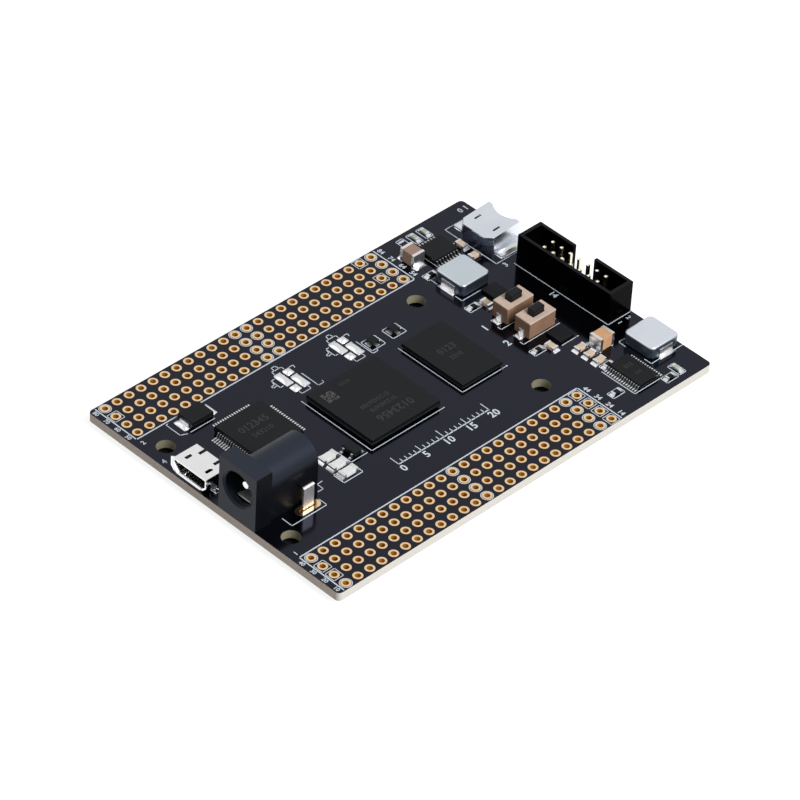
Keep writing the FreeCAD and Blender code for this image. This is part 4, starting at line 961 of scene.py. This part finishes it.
# The header's upward faces get a paler grey as painted light.
tray = mould("header_plastic", (0.0004, 0.0004, 0.0005), (0.0009, 0.0009, 0.0010), grain=1800.0,
             rough=0.3, shine=0.02, top_painted_light=(0.016, 0.016, 0.018))
softened("debug_housing", 0.09 * MM, tray)
dress("debug_pins", metal("pale_gold_pin", (0.86, 0.78, 0.58), (0.93, 0.87, 0.7), 0.2, 1200.0))

# ---------------------------------------------------------------------------
# Coin-cell retainer
# Nickel-plated spring steel, stamped, bent over the cell and soldered by its two feet. The cell would
# lie on a round tinned contact, which is painted near black as the retainer's shade.
# ---------------------------------------------------------------------------

spring_plate = Finish("nickel_spring_plate", metallic=1.0)
rolled = spring_plate.noise(160.0, 2.0)
spring_plate.set("Base Color", spring_plate.blend((0.70, 0.74, 0.82), (0.84, 0.87, 0.93), rolled))
spring_plate.set("Roughness", 0.2 + 0.1 * rolled)
softened("cell_retainer", 0.04 * MM, spring_plate, segments=1, angle=50)
# Painted shade: the contact under the retainer is near black.
dress("cell_contact", metal("contact_painted_shade", (0.02, 0.03, 0.04), (0.06, 0.08, 0.1), 0.12, 700.0))

# ---------------------------------------------------------------------------
# Inductors
# Pressed iron powder round a coil, lacquered pale grey, on two folded tinned straps. The one on the
# near half of the board is paler, and both are painted dark down their sides, as shade and the reflection
# of the dark board.
# ---------------------------------------------------------------------------

lacquer = Finish("grey_lacquer", metallic=0.9, specular_ior_level=0.5)
powder = lacquer.noise(3000.0, 3.0)
near_one = lacquer.axes(lacquer.place())[1] < 0.0
dim = lacquer.blend((0.58, 0.64, 0.70), (0.68, 0.74, 0.80), powder)
pale = lacquer.blend(dim, lacquer.blend((0.72, 0.76, 0.83), (0.82, 0.86, 0.93), powder), near_one)
# Painted shade: upright faces get a dark blue-grey, and only upward faces the lacquer's tone.
lacquer.set("Base Color", lacquer.blend((0.13, 0.16, 0.2), pale, lacquer.facing_up().at_least(0.0)))
lacquer.set("Roughness", 0.28 + 0.1 * powder)
lacquer.bump(powder, 0.08, 0.00002)
for node in ("main_inductor_body", "side_inductor_body"):
    softened(node, 0.03 * MM, lacquer, angle=60)
for node in ("main_inductor_terminals", "side_inductor_terminals"):
    softened(node, 0.03 * MM, leads)

# ---------------------------------------------------------------------------
# Push buttons
# A warm brown body under a pale pressed frame; a black plunger stands in the frame's opening over
# a snap dome.
# ---------------------------------------------------------------------------

case = Finish("button_case", specular_ior_level=0.05)
shade = case.noise(900.0, 3.0)
case.set("Base Color", case.blend((0.23, 0.13, 0.08), (0.34, 0.205, 0.14), shade))
case.set("Roughness", 0.38 + 0.12 * shade)
case.bump(shade, 0.15, 0.00004)
frame_plate = Finish("button_frame", specular_ior_level=0.08)
worn = frame_plate.noise(1100.0)
frame_plate.set("Base Color", frame_plate.blend((0.54, 0.41, 0.33), (0.74, 0.58, 0.48), worn))
frame_plate.set("Roughness", 0.3 + 0.15 * frame_plate.noise(1500.0))
stem_black = mould("plunger_plastic", (0.003, 0.003, 0.004), (0.006, 0.006, 0.007), rough=0.32)
for button in ("reset_button", "program_button"):
    softened(button + "_base", 0.12 * MM, case, segments=3)
    softened(button + "_cover", 0.08 * MM, frame_plate)
    softened(button + "_plunger", 0.12 * MM, stem_black,
             body=button.replace("_button", "_plunger"), segments=3)
    softened(button + "_terminals", 0.04 * MM, leads)
    dress(button + "_dome", shell_steel)

# ---------------------------------------------------------------------------
# Chip capacitors, resistors, indicators and fuses
# Fired ceramic bricks with dipped and tinned ends, in tan, brown, black and near white; the
# indicators are clear greenish resin.
# ---------------------------------------------------------------------------


def ceramic(name, dark, light, rough=0.45):
    """Fired ceramic with a fine grain."""
    finish = Finish(name, specular_ior_level=0.08)
    grain = finish.noise(1600.0, 3.0)
    finish.set("Base Color", finish.blend(dark, light, grain))
    finish.set("Roughness", rough + 0.15 * grain)
    finish.bump(grain, 0.15, 0.00003)
    return finish


# Of the two bulk capacitors, the one on the near half of the board is orange and the other brown.
bulk_ceramic = ceramic("brown_ceramic", (0.34, 0.22, 0.17), (0.44, 0.31, 0.25))
near_half = bulk_ceramic.axes(bulk_ceramic.place())[1] < 0.0
warm = bulk_ceramic.blend((0.60, 0.31, 0.15), (0.74, 0.45, 0.26), bulk_ceramic.noise(1600.0))
bulk_ceramic.set("Base Color", bulk_ceramic.blend((0.39, 0.26, 0.2), warm, near_half))
tan_ceramic = ceramic("tan_ceramic", (0.64, 0.47, 0.34), (0.80, 0.64, 0.50))
black_glaze = ceramic("black_glaze", (0.01, 0.01, 0.011), (0.02, 0.02, 0.02))
pale_ceramic = ceramic("pale_ceramic", (0.78, 0.79, 0.78), (0.9, 0.9, 0.89))
green_resin = ceramic("green_resin", (0.36, 0.46, 0.34), (0.52, 0.6, 0.48), 0.2)
for node, width, finish, slot in (("bulk_capacitor_bodies", 0.08 * MM, bulk_ceramic, "ceramic_tan"),
                                  ("capacitor_bodies", 0.06 * MM, tan_ceramic, "ceramic_tan"),
                                  ("resistor_bodies", 0.03 * MM, black_glaze, "ceramic_black"),
                                  ("fuse_bodies", 0.05 * MM, pale_ceramic, "fuse_pale"),
                                  ("led_bodies", 0.05 * MM, green_resin, "led_resin")):
    softened(node, width, finish)

for leftover in (ink_dot, fillet, pad):
    bpy.data.objects.remove(leftover)
